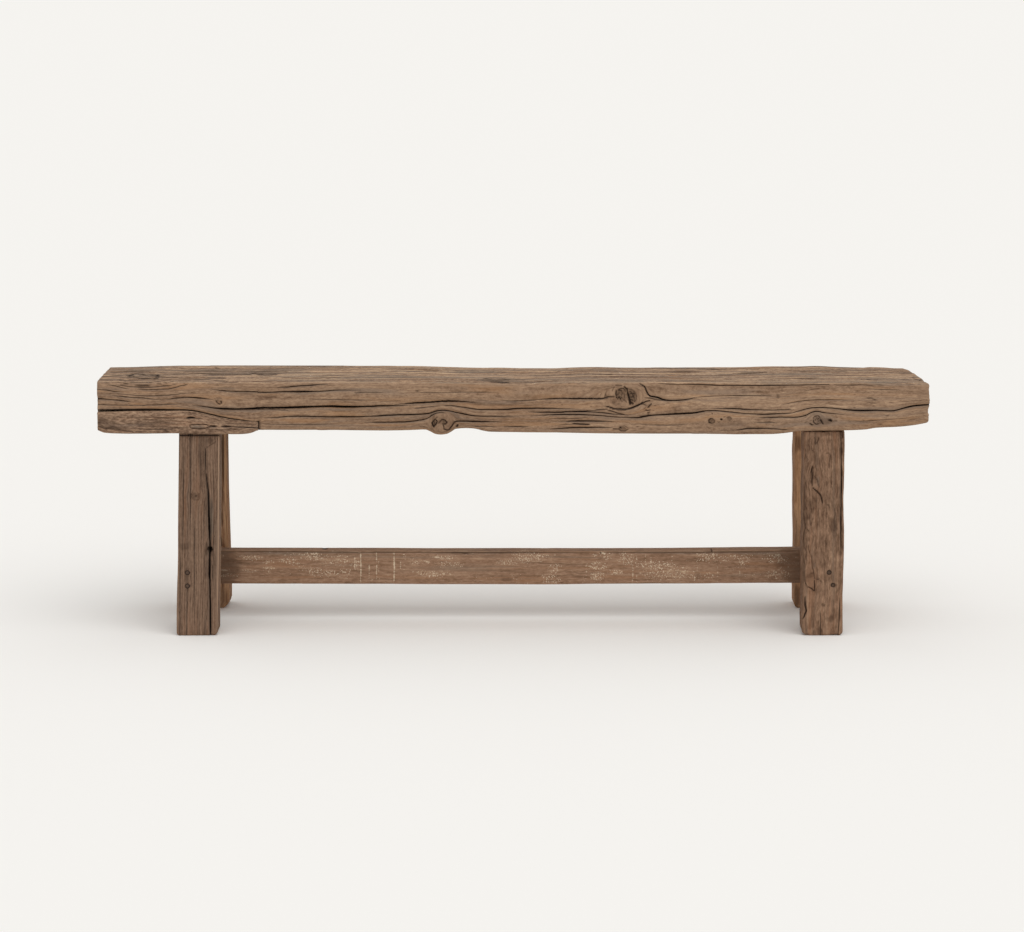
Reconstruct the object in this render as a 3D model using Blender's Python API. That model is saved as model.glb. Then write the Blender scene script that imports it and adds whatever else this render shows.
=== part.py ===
"""Rustic wooden bench: a hewn seat beam on four splayed legs, two cross rails and one long stretcher.

Metres, +Z up. The origin is on the floor under the middle of the bench, +X runs along the seat to the
right as seen from the front, and +Y runs to the back. Every piece is a separate closed solid, and pieces
that meet in a joint keep one small clearance between their faces.
"""
from collections import namedtuple
from math import cos, pi, sin

import bpy
from mathutils import Vector

# Driving dimensions of the seat beam
SEAT_LENGTH = 1.557
SEAT_DEPTH = 0.250
SEAT_THICKNESS = 0.0975
SEAT_HEIGHT = 0.4725
SEAT_ARRIS = 0.006
SEAT_STATION_SPACING = 0.048
SEAT_STATION_GAP = 0.0018
END_SET_BACK = 0.024
END_FADE_POWER = 14

# Driving dimensions of the block let into the lower left of the seat's front
BLOCK_LENGTH = 0.303
BLOCK_HEIGHT = 0.045
BLOCK_DEPTH = 0.020
BLOCK_PROUD = 0.0055
BLOCK_STEP_RUN = 0.0022

# Driving dimensions of the legs and their tenons
LEG_WIDTH = 0.076
LEG_THICKNESS = 0.070
LEG_ARRIS = 0.004
LEFT_LEG_INSET = 0.189
RIGHT_LEG_INSET = 0.196
LEG_SET_BACK = 0.010
FOOTPRINT_DEPTH = 0.330
FOOT_WEAR = 0.003
FOOT_CUT_RISE_SHARE = 1.3
SHOULDER_CHAMFER = 0.003
SHOULDER_FLAT_MARGIN = 0.010
SHOULDER_FLAT_FADE = 0.020
TENON_WIDTH = 0.042
TENON_THICKNESS = 0.038
TENON_LENGTH = 0.060
TENON_ARRIS = 0.003

# Driving dimensions of the wedges that spread the tenons inside the seat
WEDGE_HEIGHT = 0.030
WEDGE_HEAD = 0.0055
WEDGE_TIP = 0.0016

# Driving dimensions of the cross rails and the stretcher
RAIL_LEVEL = 0.102
RAIL_WIDTH = 0.030
RAIL_HEIGHT = 0.062
RAIL_ARRIS = 0.003
RAIL_INSET = 0.006
RAIL_HOUSING = 0.008
STRETCHER_THICKNESS = 0.035
STRETCHER_HEIGHT = 0.0645
STRETCHER_ARRIS = 0.003
STRETCHER_STATIONS = 16
STRETCHER_TENON_THICKNESS = 0.018
STRETCHER_TENON_HEIGHT = 0.042
STRETCHER_TENON_LENGTH = 0.023

# Driving dimensions of the pegs
PEG_DIAMETER = 0.0093
PEG_BITE = 0.045
PEG_RECESS = 0.0012
PEG_CHAMFER = 0.0006
PEG_SIDES = 14
PEG_SHARP_ANGLE = pi / 5
STRETCHER_PEG_DIAMETER = 0.008

# Driving dimensions of the drying checks cut into the timber
CHECK_WIDTH = 0.0034
CHECK_DEPTH = 0.0070
CHECK_RUN_OUT = 0.0010
CHECK_TAPER_STEPS = 2
KNOT_HOLE_DIAMETER = 0.009
KNOT_HOLE_DEPTH = 0.012

# One clearance parts every pair of mating faces, and one overrun carries every cutter past its surface
CLEARANCE = 0.0003
OVERRUN = 0.010

# Seat outline: (place along the length, height), as shares of the seat's length and thickness
UNDERSIDE_RISE_SHARES = (
    (-0.500, 0.150),
    (-0.496, 0.102),
    (-0.488, 0.082),
    (-0.158, 0.082),
    (-0.106, 0.097),
    (-0.100, 0.082),
    (-0.094, 0.030),
    (-0.088, 0.000),
    (-0.083, 0.003),
    (-0.076, 0.030),
    (-0.066, 0.106),
    (-0.044, 0.110),
    (-0.026, 0.043),
    (0.000, 0.030),
    (0.130, 0.005),
    (0.310, 0.013),
    (0.400, 0.072),
    (0.430, 0.085),
    (0.437, 0.112),
    (0.471, 0.160),
    (0.491, 0.215),
    (0.500, 0.290),
)
REAR_TOP_DROP_SHARES = (
    (-0.500, 0.050),
    (-0.452, 0.022),
    (-0.315, 0.000),
    (-0.116, 0.011),
    (-0.079, 0.031),
    (-0.015, 0.062),
    (0.030, 0.062),
    (0.095, 0.031),
    (0.158, 0.041),
    (0.282, 0.031),
    (0.375, 0.011),
    (0.418, 0.041),
    (0.441, 0.047),
    (0.456, 0.037),
    (0.500, 0.060),
)
FRONT_TOP_DROP_SHARES = (
    (-0.500, 0.050),
    (-0.400, 0.026),
    (-0.200, 0.018),
    (0.000, 0.030),
    (0.150, 0.022),
    (0.282, 0.038),
    (0.380, 0.026),
    (0.500, 0.052),
)
# Hewn faces: (place along the length, inward set), as shares of the seat's length and depth
FRONT_FACE_SET_SHARES = (
    (-0.500, 0.008),
    (-0.330, 0.000),
    (-0.210, 0.006),
    (-0.090, 0.001),
    (0.040, 0.008),
    (0.190, 0.002),
    (0.330, 0.007),
    (0.500, 0.004),
)
REAR_FACE_SET_SHARES = (
    (-0.500, 0.006),
    (-0.300, 0.001),
    (-0.140, 0.009),
    (0.070, 0.002),
    (0.260, 0.010),
    (0.400, 0.001),
    (0.500, 0.009),
)
# Seat ends in plan: (place across the depth, set back), as shares of the depth and of END_SET_BACK
LEFT_END_SHARES = ((-0.50, 0.25), (-0.36, 0.05), (-0.10, 0.0), (0.16, 0.0), (0.42, 0.10), (0.50, 0.25))
RIGHT_END_SHARES = ((-0.50, 0.0), (-0.44, 0.0), (-0.15, 0.30), (0.32, 0.70), (0.46, 1.0), (0.50, 1.15))
# Top edge of the block: (place along the block, height), as shares of its length and height
BLOCK_TOP_SHARES = (
    (0.00, 0.97),
    (0.25, 1.00),
    (0.54, 1.00),
    (0.63, 0.94),
    (0.73, 0.79),
    (0.82, 0.65),
    (0.92, 0.57),
    (1.00, 0.53),
)
# Drying checks in the seat's front: (place along the length, drop from the top), as shares
SEAT_CHECK_SHARES = {
    "left": (
        (-0.345, 0.43),
        (-0.300, 0.47),
        (-0.275, 0.46),
        (-0.200, 0.43),
        (-0.160, 0.42),
        (-0.120, 0.40),
        (-0.060, 0.36),
    ),
    "middle": (
        (-0.090, 0.40),
        (-0.040, 0.48),
        (0.010, 0.47),
        (0.105, 0.47),
    ),
    "right": (
        (0.044, 0.57),
        (0.099, 0.54),
        (0.147, 0.63),
        (0.218, 0.55),
        (0.242, 0.50),
        (0.301, 0.57),
        (0.344, 0.50),
        (0.371, 0.45),
        (0.418, 0.50),
        (0.455, 0.51),
        (0.479, 0.42),
        (0.520, 0.38),
    ),
}
# Long check in the front left leg: (height, place across), as shares of the leg's height and width
LEG_CHECK_SHARES = (
    (0.93, 0.17),
    (0.80, 0.22),
    (0.60, 0.29),
    (0.43, 0.33),
    (0.35, 0.30),
    (0.15, 0.34),
    (0.04, 0.36),
)
KNOT_HOLE_SHARES = (0.43, 0.33)
# Stretcher: (place along the length, lift), as shares of its length and height
STRETCHER_LIFT_SHARES = ((-0.5, 0.010), (-0.28, -0.006), (0.1, -0.010), (0.3, 0.004), (0.5, 0.040))
# Pegs in a leg: (sideways, upward), as shares of the rail's width and height
LEFT_PEG_SHARES = {"upper": (-0.11, 0.24), "lower": (-0.11, -0.16)}
RIGHT_PEG_SHARES = {"upper": (-0.24, 0.25), "lower": (0.0, -0.13)}
# Heights of a leg's sections, as shares of its height
LEG_SECTION_SHARES = (0.12, 0.26, 0.40, 0.54, 0.68, 0.82, 0.93)

LINEAR_COLOURS = {
    "seat": (0.216, 0.141, 0.091, 1.0),
    "block": (0.190, 0.118, 0.077, 1.0),
    "leg": (0.157, 0.097, 0.066, 1.0),
    "rail": (0.205, 0.130, 0.083, 1.0),
    "stretcher": (0.245, 0.149, 0.097, 1.0),
    "peg": (0.060, 0.036, 0.025, 1.0),
    "wedge": (0.290, 0.190, 0.120, 1.0),
}
WOOD_ROUGHNESS = 0.78

# A leg's top_shift and lean are shares of its width. Each widening lists, for the heights of
# LEG_SECTION_SHARES, how far the left and right faces bulge, and foot_cut how much they are cut at the floor
Leg = namedtuple("Leg", "name x_sign y_sign top_shift lean left_bulge right_bulge foot_cut")
LEGS = (
    Leg("front_left", -1, -1, 0.03, -0.06,
        (0.012, 0.006, 0.000, 0.006, 0.000, -0.006, 0.000),
        (0.000, 0.006, 0.010, 0.004, 0.006, 0.000, -0.004), (0.03, 0.03)),
    Leg("front_right", 1, -1, 0.00, -0.03,
        (0.010, -0.008, 0.014, -0.006, 0.010, -0.010, 0.006),
        (-0.012, 0.004, 0.012, 0.016, -0.004, 0.012, 0.004), (0.05, 0.03)),
    Leg("rear_left", -1, 1, 0.013, 0.00,
        (0.000, 0.008, 0.004, -0.004, 0.006, 0.000, 0.004),
        (0.014, 0.010, 0.004, 0.000, -0.006, 0.000, 0.004), (0.03, 0.12)),
    Leg("rear_right", 1, 1, -0.065, 0.10,
        (0.004, 0.000, -0.006, 0.006, 0.000, 0.006, 0.000),
        (0.000, 0.010, 0.004, 0.000, 0.008, 0.000, 0.004), (0.05, 0.03)),
)


def interpolate(table, place):
    """Read a table of (place, value) pairs at one place, in straight lines between its points."""
    if place <= table[0][0]:
        return table[0][1]
    for (low, low_value), (high, high_value) in zip(table, table[1:]):
        if place <= high:
            return low_value + (high_value - low_value) * (place - low) / (high - low)
    return table[-1][1]


def smooth_step(value):
    """Ease from 0 to 1."""
    clamped = min(max(value, 0.0), 1.0)
    return clamped * clamped * (3 - 2 * clamped)


def material(kind):
    """Make or find one plain wood material."""
    found = bpy.data.materials.get(kind)
    if found:
        return found
    made = bpy.data.materials.new(kind)
    made.use_nodes = True
    shader = made.node_tree.nodes["Principled BSDF"]
    shader.inputs["Base Color"].default_value = LINEAR_COLOURS[kind]
    shader.inputs["Roughness"].default_value = WOOD_ROUGHNESS
    shader.inputs["Metallic"].default_value = 0.0
    made.diffuse_color = LINEAR_COLOURS[kind]
    return made


def loft(name, rings, kind):
    """Skin rings of points, all turning the same way, into one closed body with ends fanned from a middle."""
    size = len(rings[0])
    points = [tuple(point) for ring in rings for point in ring]
    faces = []
    for row in range(len(rings) - 1):
        start = row * size
        for column in range(size):
            near = start + column
            following = start + (column + 1) % size
            faces.append((near, following, following + size, near + size))
    first_middle = len(points)
    last_start = first_middle - size
    for ring in (rings[0], rings[-1]):
        points.append(tuple(sum((Vector(point) for point in ring), Vector()) / size))
    for column in range(size):
        following = (column + 1) % size
        faces.append((first_middle, following, column))
        faces.append((first_middle + 1, last_start + column, last_start + following))
    mesh = bpy.data.meshes.new(name)
    mesh.from_pydata(points, [], faces)
    mesh.update()
    made = bpy.data.objects.new(name, mesh)
    made.data.materials.append(material(kind))
    bpy.context.scene.collection.objects.link(made)
    return made


def cutter(name, rings):
    """A loft that only shapes other pieces."""
    made = loft(name, rings, "peg")
    made.hide_render = True
    made.display_type = "WIRE"
    return made


def combine(piece, tool, operation):
    """Shape a piece with a cutter."""
    modifier = piece.modifiers.new(tool.name, "BOOLEAN")
    modifier.operation = operation
    modifier.solver = "EXACT"
    modifier.object = tool


def rounded_ring(corners, arris, middles):
    """Outline of a four-cornered section: each corner eased, and each side given its middle points."""
    count = len(corners)
    outline = []
    for index, corner in enumerate(corners):
        before = corners[index - 1]
        after = corners[(index + 1) % count]
        start = corner + (before - corner).normalized() * arris
        end = corner + (after - corner).normalized() * arris
        outline += [start, (start + 2 * corner + end) / 4, end]
        next_start = after + (corner - after).normalized() * arris
        for step in range(1, middles[index] + 1):
            outline.append(end.lerp(next_start, step / (middles[index] + 1)))
    return outline


def box_corners(low_a, high_a, low_b, high_b):
    """Four corners of an upright section, in turning order."""
    turning = ((low_a, low_b), (high_a, low_b), (high_a, high_b), (low_a, high_b))
    return [Vector(corner) for corner in turning]


def round_rod(start, end, radius, chamfer):
    """Rings of a straight round rod, with its two ends chamfered when the chamfer isn't zero."""
    axis = (end - start).normalized()
    across = axis.orthogonal().normalized()
    up = axis.cross(across)
    stops = [(start, radius), (end, radius)]
    if chamfer:
        stops = [
            (start, radius - chamfer),
            (start + axis * chamfer, radius),
            (end - axis * chamfer, radius),
            (end, radius - chamfer),
        ]
    turns = [2 * pi * step / PEG_SIDES for step in range(PEG_SIDES)]
    return [[centre + across * reach * cos(turn) + up * reach * sin(turn) for turn in turns]
            for centre, reach in stops]


def leg_line(x_sign):
    """Distance of the left or right pair of legs from the bench's middle, with its sign."""
    inset = LEFT_LEG_INSET if x_sign < 0 else RIGHT_LEG_INSET
    return x_sign * (SEAT_LENGTH / 2 - inset)


def block_end():
    """Right end of the block."""
    return BLOCK_LENGTH - SEAT_LENGTH / 2


def hewn_underside(x):
    """Height of the beam's underside before it is dressed flat at the legs."""
    rise = interpolate(UNDERSIDE_RISE_SHARES, x / SEAT_LENGTH) * SEAT_THICKNESS
    hang = BLOCK_PROUD * (1 - smooth_step((x - block_end()) / BLOCK_STEP_RUN))
    return SEAT_HEIGHT - SEAT_THICKNESS + rise - hang


def underside(x):
    """Height of the beam's underside, dressed flat where the legs' shoulders meet it."""
    level = hewn_underside(x)
    half_flat = LEG_WIDTH / 2 + SHOULDER_FLAT_MARGIN
    for x_sign in (-1, 1):
        line = leg_line(x_sign)
        away = smooth_step((abs(x - line) - half_flat) / SHOULDER_FLAT_FADE)
        level = hewn_underside(line) * (1 - away) + level * away
    return level


def shoulder_height(x_sign):
    """Top of a leg below its tenon."""
    return underside(leg_line(x_sign)) - CLEARANCE


def seat_stations():
    """Places along the beam that get a section."""
    half = SEAT_LENGTH / 2
    count = round(SEAT_LENGTH / SEAT_STATION_SPACING)
    places = [-half + SEAT_LENGTH * step / count for step in range(count + 1)]
    for table in (UNDERSIDE_RISE_SHARES, REAR_TOP_DROP_SHARES):
        places += [share * SEAT_LENGTH for share, _ in table]
    for x_sign in (-1, 1):
        for side in (-1, 1):
            edge = leg_line(x_sign) + side * (LEG_WIDTH / 2 + SHOULDER_FLAT_MARGIN)
            places += [edge, edge + side * SHOULDER_FLAT_FADE]
    places += [block_end(), block_end() + BLOCK_STEP_RUN, half - SEAT_ARRIS, SEAT_ARRIS - half]
    kept = [-half]
    for place in sorted(places):
        if place - kept[-1] > SEAT_STATION_GAP and place < half - SEAT_STATION_GAP:
            kept.append(place)
    return kept + [half]


def seat_ring(x):
    """One section of the beam, with the beam's ends eased in plan."""
    half = SEAT_LENGTH / 2
    share = x / SEAT_LENGTH
    front = -SEAT_DEPTH / 2 + interpolate(FRONT_FACE_SET_SHARES, share) * SEAT_DEPTH
    rear = SEAT_DEPTH / 2 - interpolate(REAR_FACE_SET_SHARES, share) * SEAT_DEPTH
    front_top = SEAT_HEIGHT - interpolate(FRONT_TOP_DROP_SHARES, share) * SEAT_THICKNESS
    rear_top = SEAT_HEIGHT - interpolate(REAR_TOP_DROP_SHARES, share) * SEAT_THICKNESS
    ease = max(0.0, abs(x) - (half - SEAT_ARRIS))
    low = underside(x) + ease
    corners = [
        Vector((front + ease, low)),
        Vector((rear - ease, low)),
        Vector((rear - ease, rear_top - ease)),
        Vector((front + ease, front_top - ease)),
    ]
    end_shares = LEFT_END_SHARES if x < 0 else RIGHT_END_SHARES
    pull = (abs(x) / half) ** END_FADE_POWER * END_SET_BACK
    points = []
    for y, z in rounded_ring(corners, SEAT_ARRIS, (3, 1, 3, 1)):
        set_back = interpolate(end_shares, y / SEAT_DEPTH) * pull
        points.append(Vector((x - set_back if x > 0 else x + set_back, y, z)))
    return points


def block_room(name, clearance):
    """Room for the block: an outline in the front face, carried past the left end, front and underside."""
    left = -SEAT_LENGTH / 2
    foot = underside(leg_line(-1))
    edge = [(left + share * BLOCK_LENGTH, foot + height * BLOCK_HEIGHT + clearance)
            for share, height in BLOCK_TOP_SHARES]
    first_height = edge[0][1]
    last_height = edge[-1][1]
    right = block_end() + clearance
    outline = [(left - OVERRUN, foot - OVERRUN), (right, foot - OVERRUN), (right, last_height)]
    outline += list(reversed(edge[:-1]))
    outline.append((left - OVERRUN, first_height))
    front = -SEAT_DEPTH / 2 - OVERRUN
    back = -SEAT_DEPTH / 2 + BLOCK_DEPTH + clearance
    rings = [[Vector((x, y, z)) for x, z in outline] for y in (back, front)]
    return cutter(name, rings)


def check_cutter(name, places, normal):
    """V-shaped cutter along a row of places on a face, running out to nothing at both ends."""
    across = (places[-1] - places[0]).cross(normal).normalized()
    rings = []
    last = len(places) - 1
    for index, place in enumerate(places):
        fullness = min(1.0, (min(index, last - index) + 1) / (CHECK_TAPER_STEPS + 1))
        depth = CHECK_DEPTH * fullness if 0 < index < last else -CHECK_RUN_OUT
        spread = across * CHECK_WIDTH * fullness
        rings.append([place + normal * OVERRUN / 2 - spread, place + normal * OVERRUN / 2 + spread,
                      place - normal * depth])
    return cutter(name, rings)


def leg_centre(leg, z):
    """Middle of a leg's section at one height."""
    height = shoulder_height(leg.x_sign)
    rise = z / height
    top_x = leg_line(leg.x_sign) + leg.top_shift * LEG_WIDTH
    x = top_x + leg.lean * LEG_WIDTH * (1 - rise)
    floor_y = (FOOTPRINT_DEPTH - LEG_THICKNESS) / 2
    top_y = SEAT_DEPTH / 2 - LEG_SET_BACK - LEG_THICKNESS / 2
    return Vector((x, leg.y_sign * (floor_y + (top_y - floor_y) * rise)))


def leg_ring(leg, z, left_reach, right_reach, thickness, arris):
    """One level section of a leg, at its own place along the splayed line."""
    centre = leg_centre(leg, z)
    corners = box_corners(centre.x - left_reach, centre.x + right_reach,
                          centre.y - thickness / 2, centre.y + thickness / 2)
    return [Vector((x, y, z)) for x, y in rounded_ring(corners, arris, (1, 1, 1, 1))]


def tenon_rings(leg, low, high, clearance):
    """Sections of a leg's tenon, or of the room for it."""
    reach = TENON_WIDTH / 2 + clearance
    thickness = TENON_THICKNESS + 2 * clearance
    return [leg_ring(leg, z, reach, reach, thickness, TENON_ARRIS) for z in (low, high)]


def wedge_rings(leg, clearance, width, lift):
    """Sections of a wedge driven down into a tenon, or of the kerf that takes it."""
    top = shoulder_height(leg.x_sign) + TENON_LENGTH
    low = top - WEDGE_HEIGHT
    grow = (WEDGE_HEAD - WEDGE_TIP) / WEDGE_HEIGHT
    rings = []
    levels = ((low - clearance, WEDGE_TIP - grow * clearance), (top + lift, WEDGE_HEAD + grow * lift))
    for z, thickness in levels:
        centre = leg_centre(leg, z)
        half = thickness / 2 + clearance
        corners = box_corners(centre.x - half, centre.x + half, centre.y - width / 2, centre.y + width / 2)
        rings.append([Vector((x, y, z)) for x, y in corners])
    return rings


def make_leg(leg):
    """One leg with its shoulder and tenon in a single skin, cut later for the wedge, rail and pegs."""
    half = LEG_WIDTH / 2
    height = shoulder_height(leg.x_sign)
    left_cut, right_cut = (share * LEG_WIDTH for share in leg.foot_cut)
    worn = LEG_THICKNESS - 2 * FOOT_WEAR
    rings = [
        leg_ring(leg, 0.0, half - left_cut, half - right_cut, worn, LEG_ARRIS),
        leg_ring(leg, max(left_cut, right_cut) * FOOT_CUT_RISE_SHARE, half, half, LEG_THICKNESS, LEG_ARRIS),
    ]
    for share, left, right in zip(LEG_SECTION_SHARES, leg.left_bulge, leg.right_bulge):
        rings.append(leg_ring(leg, share * height, half + left * LEG_WIDTH, half + right * LEG_WIDTH,
                              LEG_THICKNESS, LEG_ARRIS))
    rings.append(leg_ring(leg, height - SHOULDER_CHAMFER, half, half, LEG_THICKNESS, LEG_ARRIS))
    eased = half - SHOULDER_CHAMFER
    rings.append(leg_ring(leg, height, eased, eased, LEG_THICKNESS - 2 * SHOULDER_CHAMFER, LEG_ARRIS))
    rings += tenon_rings(leg, height, height + TENON_LENGTH, 0.0)
    return loft(leg.name + "_leg", rings, "leg")


def rail_centre(x_sign):
    """Middle of a cross rail, set in from the legs' outer faces."""
    return leg_line(x_sign) + x_sign * (LEG_WIDTH / 2 - RAIL_INSET - RAIL_WIDTH / 2)


def rail_half_length(x_sign):
    """Half of a cross rail, as far as it is housed in the legs."""
    height = shoulder_height(x_sign)
    floor_y = FOOTPRINT_DEPTH / 2 - LEG_THICKNESS
    top_y = SEAT_DEPTH / 2 - LEG_SET_BACK - LEG_THICKNESS
    return floor_y + (top_y - floor_y) * RAIL_LEVEL / height + RAIL_HOUSING


def rail_rings(x_sign, clearance):
    """Sections of a cross rail, or of the room for it."""
    centre = rail_centre(x_sign)
    half_width = RAIL_WIDTH / 2 + clearance
    half_height = RAIL_HEIGHT / 2 + clearance
    corners = box_corners(-half_width, half_width, -half_height, half_height)
    outline = rounded_ring(corners, RAIL_ARRIS, (0, 0, 0, 0))
    half_length = rail_half_length(x_sign) + clearance
    ends = (half_length, -half_length)
    return [[Vector((centre + a, y, RAIL_LEVEL + b)) for a, b in outline] for y in ends]


def peg_ends(leg, share):
    """Outer and inner end of a peg that runs through a leg's face into the end of the cross rail."""
    sideways, upward = share
    z = RAIL_LEVEL + upward * RAIL_HEIGHT
    x = rail_centre(leg.x_sign) + sideways * RAIL_WIDTH
    face = leg_centre(leg, z).y + leg.y_sign * LEG_THICKNESS / 2
    outer = face - leg.y_sign * PEG_RECESS
    inner = leg.y_sign * (rail_half_length(leg.x_sign) - PEG_BITE)
    return Vector((x, outer, z)), Vector((x, inner, z))


def stretcher_lift(share):
    """How far the stretcher rises above its level at one place."""
    return interpolate(STRETCHER_LIFT_SHARES, share) * STRETCHER_HEIGHT


def stretcher_end(x_sign):
    """Shoulder of the stretcher, at the inner face of a cross rail."""
    return rail_centre(x_sign) - x_sign * (RAIL_WIDTH / 2 + CLEARANCE)


def stretcher_tenon(name, x_sign, clearance):
    """Tenon at one end of the stretcher, or the room for it."""
    level = RAIL_LEVEL + stretcher_lift(x_sign / 2)
    half_thickness = STRETCHER_TENON_THICKNESS / 2 + clearance
    half_height = STRETCHER_TENON_HEIGHT / 2 + clearance
    corners = box_corners(-half_thickness, half_thickness, level - half_height, level + half_height)
    shoulder = stretcher_end(x_sign)
    places = sorted((shoulder - x_sign * OVERRUN, shoulder + x_sign * (STRETCHER_TENON_LENGTH + clearance)))
    return cutter(name, [[Vector((x, y, z)) for y, z in corners] for x in places])


def stretcher_peg_ends(x_sign):
    """Lower and upper end of the peg that stands in a cross rail and locks the stretcher's tenon."""
    x = stretcher_end(x_sign) + x_sign * STRETCHER_TENON_LENGTH / 2
    half = RAIL_HEIGHT / 2 - PEG_RECESS
    return Vector((x, 0.0, RAIL_LEVEL - half)), Vector((x, 0.0, RAIL_LEVEL + half))


def make_peg(name, ends, diameter):
    """One turned peg."""
    made = loft(name, round_rod(*ends, diameter / 2, PEG_CHAMFER), "peg")
    made.data.shade_smooth()
    made.data.set_sharp_from_angle(angle=PEG_SHARP_ANGLE)
    return made


def make_bore(name, ends, diameter):
    """The hole for a peg, run past its outer end."""
    outer, inner = ends
    along = (inner - outer).normalized()
    rings = round_rod(outer - along * OVERRUN, inner + along * CLEARANCE, diameter / 2 + CLEARANCE, 0.0)
    return cutter(name, rings)


def make_seat():
    """The seat beam with its block, and the mortises for the four legs."""
    rings = [seat_ring(x) for x in seat_stations()]
    beam = loft("seat_beam", rings, "seat")
    whole = cutter("whole_beam", rings)
    combine(beam, block_room("block_rebate", CLEARANCE), "DIFFERENCE")
    block = block_room("repair_block", 0.0)
    block.hide_render = False
    block.display_type = "TEXTURED"
    block.data.materials[0] = material("block")
    combine(block, whole, "INTERSECT")
    for leg in LEGS:
        height = shoulder_height(leg.x_sign)
        room = tenon_rings(leg, height - OVERRUN, height + TENON_LENGTH + CLEARANCE, CLEARANCE)
        combine(beam, cutter(leg.name + "_mortise", room), "DIFFERENCE")
    for name, shares in SEAT_CHECK_SHARES.items():
        places = []
        for share, drop in shares:
            front = -SEAT_DEPTH / 2 + interpolate(FRONT_FACE_SET_SHARES, share) * SEAT_DEPTH
            places.append(Vector((share * SEAT_LENGTH, front, SEAT_HEIGHT - drop * SEAT_THICKNESS)))
        groove = check_cutter("seat_check_" + name, places, Vector((0, -1, 0)))
        combine(beam, groove, "DIFFERENCE")


def leg_face_place(leg, shares):
    """A place on a leg's outer face, from shares of its height and width."""
    up, sideways = shares
    z = up * shoulder_height(leg.x_sign)
    centre = leg_centre(leg, z)
    return Vector((centre.x + sideways * LEG_WIDTH, centre.y + leg.y_sign * LEG_THICKNESS / 2, z))


def check_leg(leg, piece):
    """Cut the long drying check and the knot hole into a leg's outer face."""
    outward = Vector((0, leg.y_sign, 0))
    places = [leg_face_place(leg, shares) for shares in LEG_CHECK_SHARES]
    combine(piece, check_cutter(leg.name + "_check", places, outward), "DIFFERENCE")
    mouth = leg_face_place(leg, KNOT_HOLE_SHARES)
    rod = round_rod(mouth + outward * OVERRUN, mouth - outward * KNOT_HOLE_DEPTH, KNOT_HOLE_DIAMETER / 2, 0.0)
    combine(piece, cutter(leg.name + "_knot_hole", rod), "DIFFERENCE")


def make_stretcher():
    """The long stretcher, tenoned into both cross rails."""
    half_thickness = STRETCHER_THICKNESS / 2
    half_height = STRETCHER_HEIGHT / 2
    left = stretcher_end(-1)
    length = stretcher_end(1) - left
    rings = []
    for step in range(STRETCHER_STATIONS + 1):
        share = step / STRETCHER_STATIONS
        level = RAIL_LEVEL + stretcher_lift(share - 0.5)
        corners = box_corners(-half_thickness, half_thickness, level - half_height, level + half_height)
        outline = rounded_ring(corners, STRETCHER_ARRIS, (0, 0, 0, 0))
        rings.append([Vector((left + length * share, y, z)) for y, z in outline])
    piece = loft("long_stretcher", rings, "stretcher")
    for x_sign, side in ((-1, "left"), (1, "right")):
        combine(piece, stretcher_tenon(side + "_stretcher_tenon", x_sign, 0.0), "UNION")
    return piece


def build():
    """Make every piece and cut the joints between them."""
    for old in list(bpy.data.objects):
        bpy.data.objects.remove(old)
    make_seat()
    legs = {leg.name: make_leg(leg) for leg in LEGS}
    for leg in LEGS:
        loft(leg.name + "_tenon_wedge", wedge_rings(leg, 0.0, TENON_THICKNESS, 0.0), "wedge")
        kerf = cutter(leg.name + "_kerf", wedge_rings(leg, CLEARANCE, TENON_THICKNESS + OVERRUN, OVERRUN))
        combine(legs[leg.name], kerf, "DIFFERENCE")
    check_leg(LEGS[0], legs[LEGS[0].name])
    stretcher = make_stretcher()
    for x_sign, side in ((-1, "left"), (1, "right")):
        rail = loft(side + "_cross_rail", rail_rings(x_sign, 0.0), "rail")
        rail_room = cutter(side + "_rail_room", rail_rings(x_sign, CLEARANCE))
        combine(rail, stretcher_tenon(side + "_stretcher_mortise", x_sign, CLEARANCE), "DIFFERENCE")
        ends = stretcher_peg_ends(x_sign)
        make_peg(side + "_stretcher_peg", ends, STRETCHER_PEG_DIAMETER)
        low, high = ends
        run = Vector((0, 0, OVERRUN))
        rod = round_rod(low - run, high + run, STRETCHER_PEG_DIAMETER / 2 + CLEARANCE, 0.0)
        bore = cutter(side + "_stretcher_bore", rod)
        combine(rail, bore, "DIFFERENCE")
        combine(stretcher, bore, "DIFFERENCE")
        peg_shares = LEFT_PEG_SHARES if x_sign < 0 else RIGHT_PEG_SHARES
        for leg in (each for each in LEGS if each.x_sign == x_sign):
            piece = legs[leg.name]
            for place, share in peg_shares.items():
                ends = peg_ends(leg, share)
                make_peg(f"{leg.name}_{place}_peg", ends, PEG_DIAMETER)
                bore = make_bore(f"{leg.name}_{place}_bore", ends, PEG_DIAMETER)
                combine(piece, bore, "DIFFERENCE")
                combine(rail, bore, "DIFFERENCE")
            combine(piece, rail_room, "DIFFERENCE")


build()
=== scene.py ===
"""Looks of the rustic wooden bench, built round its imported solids.

Every timber is a fine grid wrapped round its solid: stations along the grain and rows round the section.
Cracks, knots, dents and worn arrises move the grid's points, and the same grid carries the values that the
materials read, so that colour and shape agree. Metres, in the frame of the solids.
"""
from collections import namedtuple
from itertools import product
from math import cos, pi, radians, sin

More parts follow.
